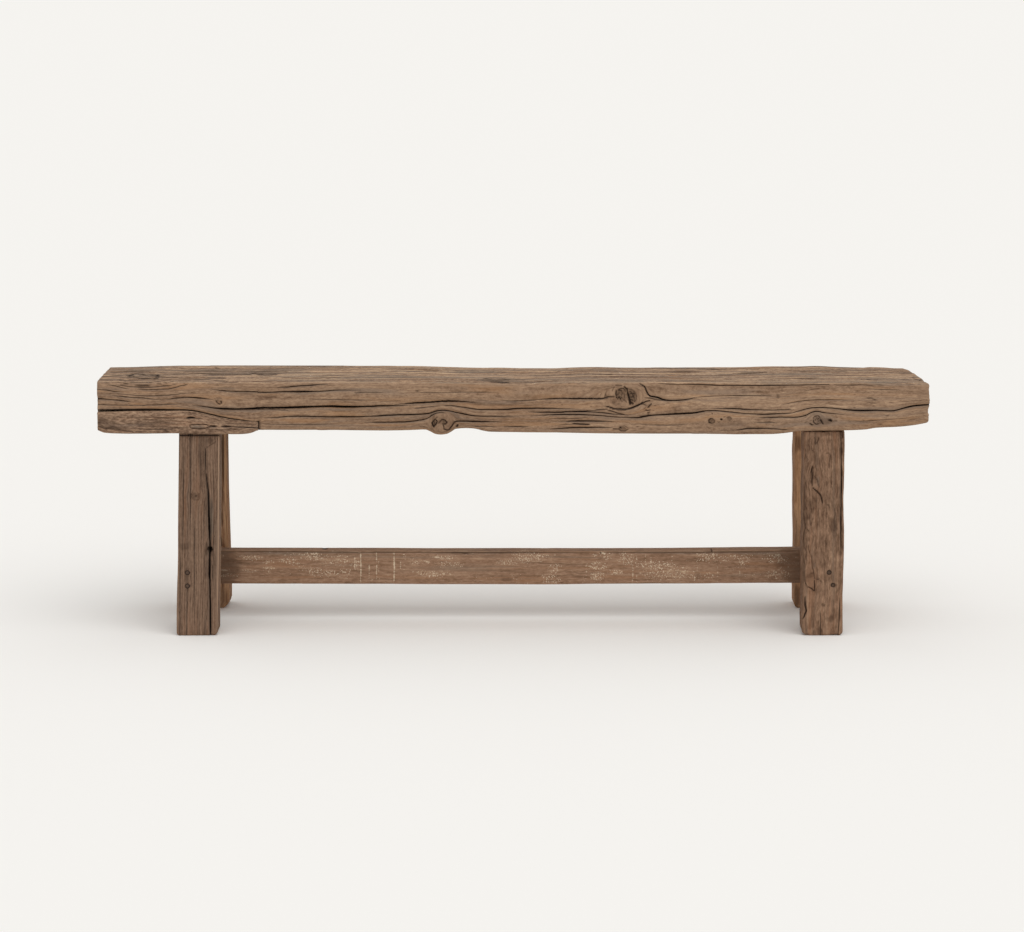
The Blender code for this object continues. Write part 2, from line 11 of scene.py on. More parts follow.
import bpy
import numpy as np
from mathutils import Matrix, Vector


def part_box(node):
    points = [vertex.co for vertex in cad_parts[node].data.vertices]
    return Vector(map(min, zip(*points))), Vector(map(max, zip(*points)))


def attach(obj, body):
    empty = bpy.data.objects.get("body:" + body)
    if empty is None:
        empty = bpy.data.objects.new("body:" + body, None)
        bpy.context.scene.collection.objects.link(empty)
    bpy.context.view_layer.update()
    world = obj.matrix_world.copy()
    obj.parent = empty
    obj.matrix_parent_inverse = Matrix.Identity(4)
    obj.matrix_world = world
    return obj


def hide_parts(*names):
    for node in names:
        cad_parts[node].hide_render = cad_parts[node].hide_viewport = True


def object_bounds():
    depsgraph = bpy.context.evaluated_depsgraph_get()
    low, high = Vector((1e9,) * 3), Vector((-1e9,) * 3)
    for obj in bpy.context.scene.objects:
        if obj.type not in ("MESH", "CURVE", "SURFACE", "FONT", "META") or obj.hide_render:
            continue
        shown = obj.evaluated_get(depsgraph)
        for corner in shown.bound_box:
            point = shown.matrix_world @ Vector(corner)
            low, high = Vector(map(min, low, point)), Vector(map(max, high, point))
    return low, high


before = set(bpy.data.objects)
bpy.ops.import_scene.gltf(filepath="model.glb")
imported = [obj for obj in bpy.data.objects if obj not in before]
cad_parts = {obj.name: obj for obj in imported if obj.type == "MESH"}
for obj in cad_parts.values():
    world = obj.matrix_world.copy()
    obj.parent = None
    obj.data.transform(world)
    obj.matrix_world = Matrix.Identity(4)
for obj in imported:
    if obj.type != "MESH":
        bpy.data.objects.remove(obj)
solid_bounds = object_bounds()

# Camera fitted to the photograph, whose picture is 1024 by 932 pixels
PHOTO_WIDTH = 1024
PHOTO_HEIGHT = 932
SENSOR_MILLIMETRES = 36
FOCAL_PIXELS = 3723.6
CAMERA_PLACE = (-0.0018, -7, 1.4419)
CAMERA_PITCH = radians(9.302)

# Shape of the seat beam and its block, as built in the solids
SEAT_LENGTH = 1.557
SEAT_DEPTH = 0.25
END_FADE_POWER = 14
END_SET_BACK = 0.024
BLOCK_LENGTH = 0.303
BLOCK_DEPTH = 0.02
LEFT_END_SHARES = ((-0.5, 0.08), (-0.36, 0.02), (-0.1, 0), (0.5, 0))
RIGHT_END_SHARES = ((-0.5, 0.1), (-0.44, 0.05), (-0.15, 0.3), (0.32, 0.7), (0.46, 1), (0.5, 1.15))
FRONT_FACE_SET_SHARES = (
    (-0.5, 0.008), (-0.33, 0), (-0.21, 0.006), (-0.09, 0.001),
    (0.04, 0.008), (0.19, 0.002), (0.33, 0.007), (0.5, 0.004),
)
REAR_FACE_SET_SHARES = (
    (-0.5, 0.006), (-0.3, 0.001), (-0.14, 0.009), (0.07, 0.002),
    (0.26, 0.01), (0.4, 0.001), (0.5, 0.009),
)

# The seat's outline in the photograph
REAR_TOP_EDGE_PIXELS = (
    (112, 367.2), (130, 366.6), (150, 366), (200, 365.2), (330, 365), (420, 365.5), (450, 366.5),
    (500, 367.4), (520, 368), (545, 368), (590, 366.5), (640, 367), (700, 366.5), (745, 366.5),
    (785, 365.9), (815, 365.5), (840, 367), (866, 367.2), (870, 366.6), (899, 367.2),
)
FRONT_TOP_EDGE_PIXELS = (
    (97, 380.6), (106, 381.4), (120, 382.2), (150, 382.8), (200, 383.2), (330, 382.8), (450, 383),
    (513, 383.4), (600, 383), (657, 382.8),
    (720, 384), (790, 384.2), (860, 383.6), (928, 384.6),
)
FRONT_BOTTOM_EDGE_PIXELS = (
    (97, 431), (104, 433.4), (120, 434), (180, 433.6), (240, 434.2), (248, 433.6), (253, 432.4),
    (256.6, 430.8), (258.2, 430.4),
    (300, 430.5), (380, 430.5), (412, 429.9), (425, 429.6), (430, 431.4), (434.5, 433.9), (440, 434.9),
    (446, 434.4), (451, 432.2), (456, 429.2), (466, 428.6), (476, 429.4), (483, 431.2), (490, 432.5),
    (520, 433), (560, 433.2), (620, 434.4), (700, 434), (770, 434), (785, 433.2), (800, 431.6),
    (845, 431), (868, 430), (873, 429), (878, 428.5), (900, 427.5), (918, 425.4), (928, 423.4),
)


# Settings of curves and noise. The whole numbers scatter a lattice cell's place into a value
SLOPE_LIMIT = 2.0
HASH_STEPS = (73856093, 19349663, 83492791)
HASH_SEED_STEP = 2654435761
HASH_MULTIPLIER = 668265263
HASH_SHIFT = 13
HASH_RANGE = 65535


def sight_lines(pixels):
    """Directions of the sight lines through places in the photograph."""
    across, down = np.asarray(pixels, float).T
    right = (across - PHOTO_WIDTH / 2) / FOCAL_PIXELS
    up = (PHOTO_HEIGHT / 2 - down) / FOCAL_PIXELS
    forward = cos(CAMERA_PITCH) + up * sin(CAMERA_PITCH)
    rise = up * cos(CAMERA_PITCH) - sin(CAMERA_PITCH)
    return np.stack([right, forward, rise], axis=1)


def seen_on_plane(pixels, point, normal):
    """Places where the photograph's pixels meet a plane."""
    lines = sight_lines(pixels)
    camera = np.array(CAMERA_PLACE)
    reach = ((np.array(point) - camera) @ np.array(normal)) / (lines @ np.array(normal))
    return camera + lines * reach[:, None]


def pixels_of(points):
    """Where places of the scene appear in the photograph."""
    away = points - np.array(CAMERA_PLACE)
    depth = away @ np.array((0, cos(CAMERA_PITCH), -sin(CAMERA_PITCH)))
    rise = away @ np.array((0, sin(CAMERA_PITCH), cos(CAMERA_PITCH)))
    across = PHOTO_WIDTH / 2 + FOCAL_PIXELS * away[..., 0] / depth
    down = PHOTO_HEIGHT / 2 - FOCAL_PIXELS * rise / depth
    return np.stack([across, down], axis=-1)


def curve_through(places, at):
    """Heights of a smooth curve through places, level beyond its ends."""
    xs, ys = np.asarray(places, float).T[:2]
    steps = np.diff(xs)
    rises = np.diff(ys) / steps
    steepest = SLOPE_LIMIT * np.minimum(np.abs(rises[:-1]), np.abs(rises[1:]))
    inner = np.clip((rises[:-1] + rises[1:]) / 2, -steepest, steepest)
    slopes = np.concatenate([rises[:1], inner, rises[-1:]])
    at = np.clip(at, xs[0], xs[-1])
    index = np.clip(np.searchsorted(xs, at, side="right") - 1, 0, len(steps) - 1)
    step = steps[index]
    part = (at - xs[index]) / step
    left = ys[index] * (1 + 2 * part) * (1 - part) ** 2 + slopes[index] * step * part * (1 - part) ** 2
    right = ys[index + 1] * part**2 * (3 - 2 * part) + slopes[index + 1] * step * part**2 * (part - 1)
    return left + right


def eased(value, low, high):
    """Ease from 0 at low to 1 at high."""
    part = np.clip((value - low) / (high - low), 0, 1)
    return part * part * (3 - 2 * part)


def noise_at(points, seed):
    """Smooth noise from -1 to 1, one value for each point, with cells one unit wide."""
    cells = np.floor(points).astype(np.int64)
    inside = points - cells
    smooth = inside * inside * (3 - 2 * inside)
    total = np.zeros(points.shape[:-1])
    for corner in product((0, 1), repeat=3):
        mixed = (cells + np.array(corner)) @ np.array(HASH_STEPS, dtype=np.int64) + seed * HASH_SEED_STEP
        mixed = (mixed ^ (mixed >> HASH_SHIFT)) * HASH_MULTIPLIER
        mixed = mixed ^ (mixed >> HASH_SHIFT)
        value = (mixed & HASH_RANGE) / (HASH_RANGE / 2) - 1
        weight = np.prod(np.where(np.array(corner) == 1, smooth, 1 - smooth), axis=-1)
        total += weight * value
    return total


def grain_noise(grain, along, across, seed):
    """Noise drawn out along the grain, with its two wavelengths in metres."""
    return noise_at(grain / np.array((along, across, across)), seed)


# A crack's places are (along the timber, across the face), all in metres
Crack = namedtuple("Crack", "side places half_width depth")
# A knot lies on one side of a timber. The bulge and the pit are heights in metres, the ink a share
Knot = namedtuple("Knot", "side along across reach_along reach_across bulge pit ink")
# How scattered cracks are drawn: their number, then the ranges of their measures, then how far they wander
Scatter = namedtuple("Scatter", "count lengths half_widths depths wander")

# Sides of a timber, and the axes of timbers that lie along x, y or z
SIDE_COUNT = 4
FRONT, TOP, BACK, UNDER = range(SIDE_COUNT)
SIDE_SIGNS = (1, -1, 1, -1)
ALONG_X = ((1, 0, 0), (0, 1, 0), (0, 0, 1))
ALONG_Y = ((0, 1, 0), (1, 0, 0), (0, 0, 1))
ALONG_Z = ((0, 0, 1), (1, 0, 0), (0, 1, 0))

# Settings of the grids
END_ARC_STEPS = 4
STATION_PROBES = 4001
STATION_SPREAD = 0.25
OPEN_END = 0.006
FAR = 400.0
TINY = 1e-9
ROWS_FOR_WAVE = (1.3, 2.6)
RIDGE_POWER = 0.8
UPWARD_FACING = (0.5, 0.95)

# How the grain wanders: a second, finer wave has these shares of the first one's reach and lengths
FINER_REACH = 3
FINER_ALONG = 4
FINER_ACROSS = 2
FINER_SEED = 7
KNOT_FLOW = 0.8
KNOT_FADE = 3.0
LEAST_DISTANCE = 1e-6

# Cracks: a track holds those that don't overlap, and a tiny width stands for no crack
TRACKS = 9
TRACKS_PER_VALUE = 3
TRACK_LETTERS = "abc"
TINY_WIDTH = 0.000005
SHOWN_WIDTH = 3 * TINY_WIDTH
CRACK_GAP = 0.010
CRACK_SHAPE_POWER = 0.75
LINE_STEP = 0.004
CRACK_TAPER_SHARE = 0.35
CRACK_VARY = 0.35
CRACK_VARY_LENGTH = 0.030
CRACK_VARY_STEP = 3
CRACK_VARY_SEED = 60
CRACK_JITTER = 0.0003
CRACK_JITTER_LENGTHS = (0.006, 0.02)
CRACK_JITTER_SEED = 80
CRACK_ROW_SHARE = 0.85
CRACK_WANDER_LENGTH = 0.035
CRACK_LEAST_SHARE = 0.4
CRACK_OVERHANG = (0.3, 0.5)
LIP_REACH = 0.0035
LIP_SHARE = 0.10
END_NOTCH = (0.001, 0.013)
END_NOTCH_SHARE = 0.12

# Knots, in shares of their reach
KNOT_SPAN = 4.0
KNOT_RINGS = 2.6
KNOT_UNEVEN = 0.22
KNOT_UNEVEN_RATE = 1.1
KNOT_UNEVEN_STEP = 50
KNOT_UNEVEN_SEED = 90
KNOT_SWELL_REACH = 1.15
KNOT_SWELL_POWER = 4
KNOT_RING_FADE = (0.75, 1.15)
KNOT_RING_SHARE = 0.14
KNOT_PIT_FADE = (0.1, 0.62)
KNOT_MOAT_WIDTH = 0.13
KNOT_MOAT_SHARE = 0.45

# Strokes and patches that the photograph shows, in pixels or shares of their reach
LEAST_TURN = 0.10
STROKE_MARGIN = 6.0
STROKE_TIP = 0.45
STROKE_CORE = 0.35
STROKE_RIM = 1.5
PATCH_RAGGED = 0.35
PATCH_RAGGED_LENGTHS = (0.020, 0.004)
PATCH_RAGGED_SEED = 200
PATCH_FADE = (0.45, 1.15)

# Holes, whose rims the grid is drawn on to
HOLE_REACH = 2.0
HOLE_SNAP = 0.0007
HOLE_INNER = 0.985
HOLE_OUTER = 1.02
GUIDE_GAP = 0.0008


class Timber:
    """A grid wrapped round one timber, its shape and the values its material reads."""

    def __init__(self, name, axes, seed):
        self.name = name
        self.axes = np.array(axes, float)
        self.seed = seed
        self.values = {}

    def lay_stations(self, low, high, spacing, extra, arrises, cap_rings, close=()):
        """Places along the timber, each with its inset, its shrink towards the middle and its facing.

        Close lists stretches (start, end, spacing) where the stations stand closer together.
        """
        arris, far_arris = arrises
        probe = np.linspace(low + arris, high - far_arris, STATION_PROBES)
        gaps = np.full(STATION_PROBES, float(spacing))
        for start, end, fine in close:
            beyond = np.maximum(start - probe, probe - end)
            gaps = np.minimum(gaps, np.clip(fine + np.maximum(beyond, 0) * STATION_SPREAD, fine, spacing))
        places = np.concatenate([[0], np.cumsum((1 / gaps[1:] + 1 / gaps[:-1]) / 2 * np.diff(probe))])
        inner = np.interp(np.linspace(0, places[-1], round(places[-1]) + 1), places, probe)
        inner = np.sort(np.concatenate([inner, np.array(extra, float)]))
        turns = np.linspace(0, pi / 2, END_ARC_STEPS + 1)[1:]
        rise = 1 - np.cos(turns)
        out = np.sin(turns)
        shrinks = 1 - np.linspace(1, 0, cap_rings + 1)[1:-1]
        flat = np.ones(cap_rings - 1)
        self.along = np.concatenate([
            low + 0 * flat, (low + arris * (1 - out))[::-1], inner,
            high - far_arris * (1 - out), high + 0 * flat])
        self.inset = np.concatenate(
            [arris * flat, arris * rise[::-1], 0 * inner, far_arris * rise, far_arris * flat])
        self.shrink = np.concatenate([shrinks[::-1], 0 * rise, 0 * inner, 0 * rise, shrinks])
        self.facing = np.concatenate([-flat, -out[::-1], 0 * inner, out, flat])
        self.low = low
        self.high = high

    def wrap(self, corners, radii, rows, arc_rows):
        """Place every row round the section. Rows are shares of each side between its two arcs."""
        corners = np.asarray(corners, float)
        radii = np.broadcast_to(np.asarray(radii, float), corners.shape[:2])
        middle = corners.mean(axis=1)
        points, normals, sides, edges, directions = [], [], [], [], []
        for side in range(SIDE_COUNT):
            run = corners[:, (side + 1) % SIDE_COUNT] - corners[:, side]
            directions.append(run / np.linalg.norm(run, axis=1)[:, None])
        turned = directions[0][0][::-1] * (-1, 1)
        outside = (corners[0, 0] + corners[0, 1]) / 2 - middle[0]
        turn = 1 if turned @ outside > 0 else -1
        outward = [np.stack([-way[:, 1], way[:, 0]], axis=1) * turn for way in directions]
        for side in range(SIDE_COUNT):
            following = (side + 1) % SIDE_COUNT
            way = directions[side]
            start = corners[:, side] + way * radii[:, side, None]
            end = corners[:, following] - way * radii[:, following, None]
            shares = np.broadcast_to(rows[side], (len(self.along), np.shape(rows[side])[-1]))
            for column in range(shares.shape[1]):
                share = shares[:, column, None]
                points.append(start + (end - start) * share)
                normals.append(outward[side])
                sides.append(side)
                edges.append(0.0)
            next_start = corners[:, following] + directions[following] * radii[:, following, None]
            for step in range(1, arc_rows + 1):
                part = step / (arc_rows + 1)
                bend = corners[:, following]
                points.append(end * (1 - part) ** 2 + bend * 2 * part * (1 - part) + next_start * part**2)
                blend = outward[side] * cos(part * pi / 2) + outward[following] * sin(part * pi / 2)
                normals.append(blend / np.linalg.norm(blend, axis=1)[:, None])
                sides.append(side)
                edges.append(1.0)
        section = np.stack(points, axis=1)
        normal = np.stack(normals, axis=1)
        self.sides = np.array(sides)
        self.ways = [int(np.argmax(np.abs(way[0]))) for way in directions]
        self.way_signs = [float(np.sign(way[0][axis])) for way, axis in zip(directions, self.ways)]
        middle = middle[:, None]
        section = section - normal * self.inset[:, None, None]
        self.flat_section = section.copy()
        nominal = (section - middle).mean(axis=0)
        keep = 1 - self.shrink[:, None, None]
        section = middle + (section - middle) * keep
        self.section = section
        facing = self.facing[:, None, None]
        side_part = np.sqrt(np.clip(1 - facing**2, 0, 1))
        axis = np.broadcast_to(facing, (*normal.shape[:2], 1))
        self.normal = np.concatenate([axis, normal * side_part], axis=2)
        along = np.broadcast_to(self.along[:, None, None], (*normal.shape[:2], 1)).copy()
        self.points = np.concatenate([along, section], axis=2)
        self.grain = np.concatenate([along, np.broadcast_to(nominal, section.shape) * keep], axis=2)
        self.edge = np.broadcast_to(np.array(edges), normal.shape[:2]).copy()
        near_end = np.minimum(self.along - self.low, self.high - self.along)
        at_end = (1 - eased(near_end, 0, OPEN_END)) * (self.facing != 0)
        self.edge = np.maximum(self.edge, at_end[:, None])
        gap = np.linalg.norm(np.diff(nominal, axis=0, append=nominal[:1]), axis=1)
        self.row_gap = np.maximum(gap, np.roll(gap, 1))
        self.lift = np.zeros(normal.shape[:2])

    def across(self, side):
        """Each row's place along one side, whether or not it lies on it."""
        return self.flat_section[:, :, self.ways[side]]

    def rough(self, along, across, height, seed, ridged=False):
        """Raise and lower the surface by drawn-out noise, left out where the rows are too far apart."""
        weight = eased(across / self.row_gap, ROWS_FOR_WAVE[0], ROWS_FOR_WAVE[1])
        wave = grain_noise(self.warped, along, across, self.seed + seed)
        if ridged:
            wave = 1 - 2 * np.abs(wave) ** RIDGE_POWER
        self.lift += wave * height * weight
        return wave * weight

    def warp(self, reach, along, across, knots):
        """Let the grain wander, and flow round the knots."""
        warped = self.grain.copy()
        for part in (1, 2):
            coarse = grain_noise(self.grain, along, across, self.seed + part)
            finer = grain_noise(self.grain, along / FINER_ALONG, across / FINER_ACROSS,
                                self.seed + FINER_SEED + part)
            warped[:, :, part] += reach * coarse
            warped[:, :, part] += reach / FINER_REACH * finer
        for knot in knots:
            axis = self.ways[knot.side]
            away_along = (self.along[:, None] - knot.along) / knot.reach_along
            away_across = (self.across(knot.side) - knot.across) / knot.reach_across
            distance = np.hypot(away_along, away_across)
            on_side = (self.sides == knot.side)[None, :]
            near = np.minimum(1, KNOT_FLOW / np.maximum(distance, LEAST_DISTANCE) ** 2)
            pull = near * np.exp(-distance / KNOT_FADE)
            warped[:, :, axis + 1] -= away_across * knot.reach_across * pull * on_side
        self.warped = warped

    def cut_cracks(self, cracks):
        """Open the cracks, and store how far every point lies from the crack of each track."""
        count = len(self.along)
        from_end = np.minimum(self.along - self.low, self.high - self.along)
        near_end = END_NOTCH_SHARE + (1 - END_NOTCH_SHARE) * eased(from_end, *END_NOTCH)
        self.values["cracks"] = []
        tracks = [[[] for _ in range(SIDE_COUNT)] for _ in range(TRACKS)]
        for crack in sorted(cracks, key=lambda each: each.places[0][0]):
            for track in tracks:
                held = track[crack.side]
                if not held or held[-1].places[-1][0] + CRACK_GAP < crack.places[0][0]:
                    held.append(crack)
                    break
        deepest = np.zeros((count, len(self.sides)))
        for number, track in enumerate(tracks):
            score = np.full((count, len(self.sides)), FAR)
            for side in range(SIDE_COUNT):
                rows = self.sides == side
                across = self.across(side)[:, rows]
                line = np.full(count, float(np.mean(across)) + LINE_STEP * (number - TRACKS / 2))
                width = np.full(count, TINY_WIDTH)
                depth = np.zeros(count)
                ends = [place for crack in track[side] for place in (crack.places[0], crack.places[-1])]
                if ends:
                    line = np.interp(self.along, *np.array(ends).T)
                for order, crack in enumerate(track[side]):
                    start = crack.places[0][0]
                    end = crack.places[-1][0]
                    inside = (self.along >= start) & (self.along <= end)
                    if start < self.low + OPEN_END:
                        inside |= self.along < start
                    if end > self.high - OPEN_END:
                        inside |= self.along > end
                    share = np.clip((self.along - start) / (end - start), 0, 1)
                    fullness = np.ones(count)
                    if start >= self.low + OPEN_END:
                        fullness *= np.sqrt(eased(share, 0, CRACK_TAPER_SHARE))
                    if end <= self.high - OPEN_END:
                        fullness *= np.sqrt(eased(1 - share, 0, CRACK_TAPER_SHARE))
                    level = 0 * self.along
                    flat = np.stack(
                        [self.along, level + number, level + side + order * CRACK_VARY_STEP], axis=1)
                    noise = noise_at(flat / np.array((CRACK_VARY_LENGTH, 1, 1)), self.seed + CRACK_VARY_SEED)
                    vary = 1 + CRACK_VARY * noise
                    width[inside] = (crack.half_width * fullness * vary)[inside] + TINY_WIDTH
                    depth[inside] = (crack.depth * fullness * vary)[inside]
                    line[inside] = curve_through(crack.places, self.along[inside])
                width = width * (1 - self.shrink) + TINY_WIDTH
                depth = depth * (1 - self.shrink)
                jitter = CRACK_JITTER * grain_noise(
                    self.grain[:, rows], *CRACK_JITTER_LENGTHS, self.seed + CRACK_JITTER_SEED + number)
                offset = across - line[:, None] + jitter * (width > SHOWN_WIDTH)[:, None]
                sign = SIDE_SIGNS[side] * self.way_signs[side]
                score[:, rows] = sign * offset / width[:, None]
                reach = np.maximum(width, self.row_gap[rows].min() * CRACK_ROW_SHARE)[:, None]
                shape = np.clip(1 - np.abs(offset) / reach, 0, 1) ** CRACK_SHAPE_POWER
                rolled = np.exp(-np.abs(offset) / LIP_REACH) * LIP_SHARE
                fall = depth[:, None] * np.maximum(shape, rolled) * near_end[:, None]
                deepest[:, rows] = np.maximum(deepest[:, rows], fall)
            self.values["cracks"].append(score)
        self.lift -= deepest

    def raise_knots(self, knots):
        """Swell and groove the knots, and store every point's place in the nearest one."""
        place = np.zeros((*self.lift.shape, 3))
        nearest = np.full(self.lift.shape, KNOT_SPAN)
        place[:, :, 0] = KNOT_SPAN
        for knot in knots:
            rows = (self.sides == knot.side)[None, :] | np.zeros(self.lift.shape, bool)
            y = (self.across(knot.side) - knot.across) / knot.reach_across
            x = (self.along[:, None] - knot.along) / knot.reach_along + 0 * y
            level = 0 * x + knot.along * KNOT_UNEVEN_STEP
            spot = np.stack([x * KNOT_UNEVEN_RATE, y * KNOT_UNEVEN_RATE, level], axis=2)
            uneven = 1 + KNOT_UNEVEN * noise_at(spot, self.seed + KNOT_UNEVEN_SEED)
            distance = np.hypot(x, y) * uneven
            swell = knot.bulge * np.exp(-(distance / KNOT_SWELL_REACH) ** KNOT_SWELL_POWER)
            rings = np.cos(distance * KNOT_RINGS * 2 * pi) * (1 - eased(distance, *KNOT_RING_FADE))
            rings = rings * knot.pit * KNOT_RING_SHARE * knot.ink
            pit = knot.pit * (1 - eased(distance, *KNOT_PIT_FADE))
            moat = np.exp(-((distance - 1.0) / KNOT_MOAT_WIDTH) ** 2) * knot.pit * KNOT_MOAT_SHARE * knot.ink
            self.lift += np.where(rows, swell + rings - pit - moat, 0)
            closer = rows & (distance < nearest)
            nearest = np.where(closer, distance, nearest)
            place[:, :, 0] = np.where(closer, x * uneven, place[:, :, 0])
            place[:, :, 1] = np.where(closer, y * uneven, place[:, :, 1])
            place[:, :, 2] = np.where(closer, knot.ink, place[:, :, 2])
        self.values["knot"] = place

    def facing_camera(self):
        """Pixels of the grid's points, far outside the picture where they face away from the camera."""
        world = self.points @ self.axes
        towards = np.array(CAMERA_PLACE) - world
        away = np.linalg.norm(towards, axis=2)
        seen = np.sum((self.normal @ self.axes) * towards, axis=2) > LEAST_TURN * away
        return np.where(seen[:, :, None], pixels_of(world), -FAR)

    def draw(self, strokes, patches):
        """Draw strokes and patches where the photograph shows them, and groove the wood under the strokes."""
        pixels = self.facing_camera()
        marks = np.zeros((*self.lift.shape, 3))
        chalk_and_highlight = np.zeros(self.lift.shape)
        groove = np.zeros(self.lift.shape)
        for width, ink, depth, line in strokes:
            line = np.array(line, float)
            low = line.min(axis=0) - STROKE_MARGIN
            high = line.max(axis=0) + STROKE_MARGIN
            near = np.all((pixels > low) & (pixels < high), axis=2)
            if not near.any():
                continue
            places = pixels[near]
            distance = np.full(len(places), FAR)
            lengths = np.concatenate([[0], np.cumsum(np.hypot(*np.diff(line, axis=0).T))])
            for start, end, run_start, run_end in zip(line, line[1:], lengths, lengths[1:]):
                way = end - start
                share = np.clip(((places - start) @ way) / (way @ way), 0, 1)
                gap = np.hypot(*(places - start - share[:, None] * way).T)
                run = (run_start + share * (run_end - run_start)) / lengths[-1]
                taper = STROKE_TIP + (1 - STROKE_TIP) * np.sqrt(np.sin(np.clip(run, 0, 1) * pi))
                distance = np.minimum(distance, gap / (width * taper))
            strength = 1 - eased(distance, STROKE_CORE, STROKE_RIM)
            marks[near, 0] = np.maximum(marks[near, 0], strength * ink)
            # Light strokes: chalk on the stretcher, painted highlights on the legs
            chalk_and_highlight[near] = np.maximum(chalk_and_highlight[near], -strength * ink)
            groove[near] = np.maximum(groove[near], strength * depth)
        ragged = grain_noise(self.grain, *PATCH_RAGGED_LENGTHS, self.seed + PATCH_RAGGED_SEED) * PATCH_RAGGED
        for kind, strength, (px, py), (reach_x, reach_y) in patches:
            distance = np.hypot((pixels[:, :, 0] - px) / reach_x, (pixels[:, :, 1] - py) / reach_y)
            soft = 1 - eased(distance + ragged, *PATCH_FADE)
            marks[:, :, kind] = np.maximum(marks[:, :, kind], soft * strength)
        self.lift -= groove
        self.values["mark"] = marks
        self.values["chalk_and_highlight"] = chalk_and_highlight

    def sink_holes(self, side, holes, radius, depth):
        """Sink round holes, and draw the grid's points on to their rims."""
        rows = self.sides == side
        axis = self.ways[side]
        for along, across in holes:
            away_along = self.points[:, :, 0] - along
            away_across = self.points[:, :, axis + 1] - across
            distance = np.hypot(away_along, away_across)
            near = (distance < radius * HOLE_REACH) & rows[None, :]
            inside = near & (distance < radius)
            rim_in = inside & (distance > radius - HOLE_SNAP)
            rim_out = near & ~inside & (distance < radius + HOLE_SNAP)
            pulled = np.where(rim_in, radius * HOLE_INNER, distance)
            pulled = np.where(rim_out, radius * HOLE_OUTER, pulled)
            factor = pulled / np.maximum(distance, TINY)
            self.points[:, :, 0][near] = (along + away_along * factor)[near]
            self.points[:, :, axis + 1][near] = (across + away_across * factor)[near]
            self.lift = np.where(inside, self.lift - depth, self.lift)

    def build(self, node, material):
        """Turn the grid into a mesh that stands for its CAD node."""
        points = (self.points + self.normal * self.lift[:, :, None]) @ self.axes
        points = np.clip(points, *(np.array(corner) for corner in solid_bounds))
        stations, rows = self.lift.shape
        poles = np.stack([points[0].mean(axis=0), points[-1].mean(axis=0)])
        vertices = np.concatenate([points.reshape(-1, 3), poles])
        station, row = np.meshgrid(np.arange(stations - 1), np.arange(rows), indexing="ij")
        near = station * rows + row
        far = station * rows + (row + 1) % rows
        quads = np.stack([near, far, far + rows, near + rows], axis=2).reshape(-1, 4)
        ring = np.arange(rows)
        first_pole = stations * rows
        last = (stations - 1) * rows
        start_fan = np.stack([0 * ring + first_pole, (ring + 1) % rows, ring], axis=1)
        end_fan = np.stack([0 * ring + first_pole + 1, last + ring, last + (ring + 1) % rows], axis=1)
        faces = quads.tolist() + start_fan.tolist() + end_fan.tolist()
        first, second, third, fourth = (vertices[corner] for corner in quads.T)
        volume = np.sum(np.cross(first, second) * third) + np.sum(np.cross(first, third) * fourth)
        if volume < 0:
            faces = [face[::-1] for face in faces]
        mesh = bpy.data.meshes.new(self.name)
        mesh.from_pydata(vertices.tolist(), [], faces)
        mesh.update()
        mesh.shade_smooth()
        cracks = self.values.pop("cracks")
        for group, letter in enumerate(TRACK_LETTERS):
            start = group * TRACKS_PER_VALUE
            self.values["crack_" + letter] = np.stack(cracks[start:start + TRACKS_PER_VALUE], axis=2)
        grain = self.warped.copy()
        grain[:, :, 0] += self.seed
        self.values["grain"] = grain
        for name, value in self.values.items():
            size = 1 if value.ndim == 2 else 3
            flat = value.reshape(-1, size)
            ends = np.stack([flat[:rows].mean(axis=0), flat[-rows:].mean(axis=0)])
            flat = np.concatenate([flat, ends]).astype(np.float32)
            kind = "FLOAT" if size == 1 else "FLOAT_VECTOR"
            attribute = mesh.attributes.new(name, kind, "POINT")
            attribute.data.foreach_set("value" if size == 1 else "vector", flat.ravel())
        piece = bpy.data.objects.new(self.name, mesh)
        mesh.materials.append(material)
        bpy.context.scene.collection.objects.link(piece)
        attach(piece, "root")
        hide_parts(node)
        return piece


def even_rows(count):
    """Row shares spread evenly over a side."""
    return np.linspace(0, 1, count)


def guided_rows(start, end, guides, counts, lip):
    """Row shares that follow guide lines along a side, with a row on each and one close on both sides."""
    run = end - start
    least = (2 * lip + GUIDE_GAP) * np.sign(run)
    lines = [start]
    for guide in guides:
        next_line = lines[-1] + least
        lines.append(np.where(run > 0, np.maximum(guide, next_line), np.minimum(guide, next_line)))
    top = end
    for index in range(len(lines) - 1, 0, -1):
        top = top - least
        lines[index] = np.where(run > 0, np.minimum(lines[index], top), np.maximum(lines[index], top))
    lines.append(end)
    rows = [start]
    sign = np.sign(run)
    for index, count in enumerate(counts):
        low = lines[index] + (lip * sign if index else 0)
        high = lines[index + 1] - (lip * sign if index + 1 < len(lines) - 1 else 0)
        if index:
            rows.append(lines[index])
        first = 0 if index else 1
        last = count if index + 1 < len(lines) - 1 else count - 1
        rows += [low + (high - low) * step / count for step in range(first, last + 1)]
    rows.append(end)
    return np.stack([(row - start) / run for row in rows], axis=1)


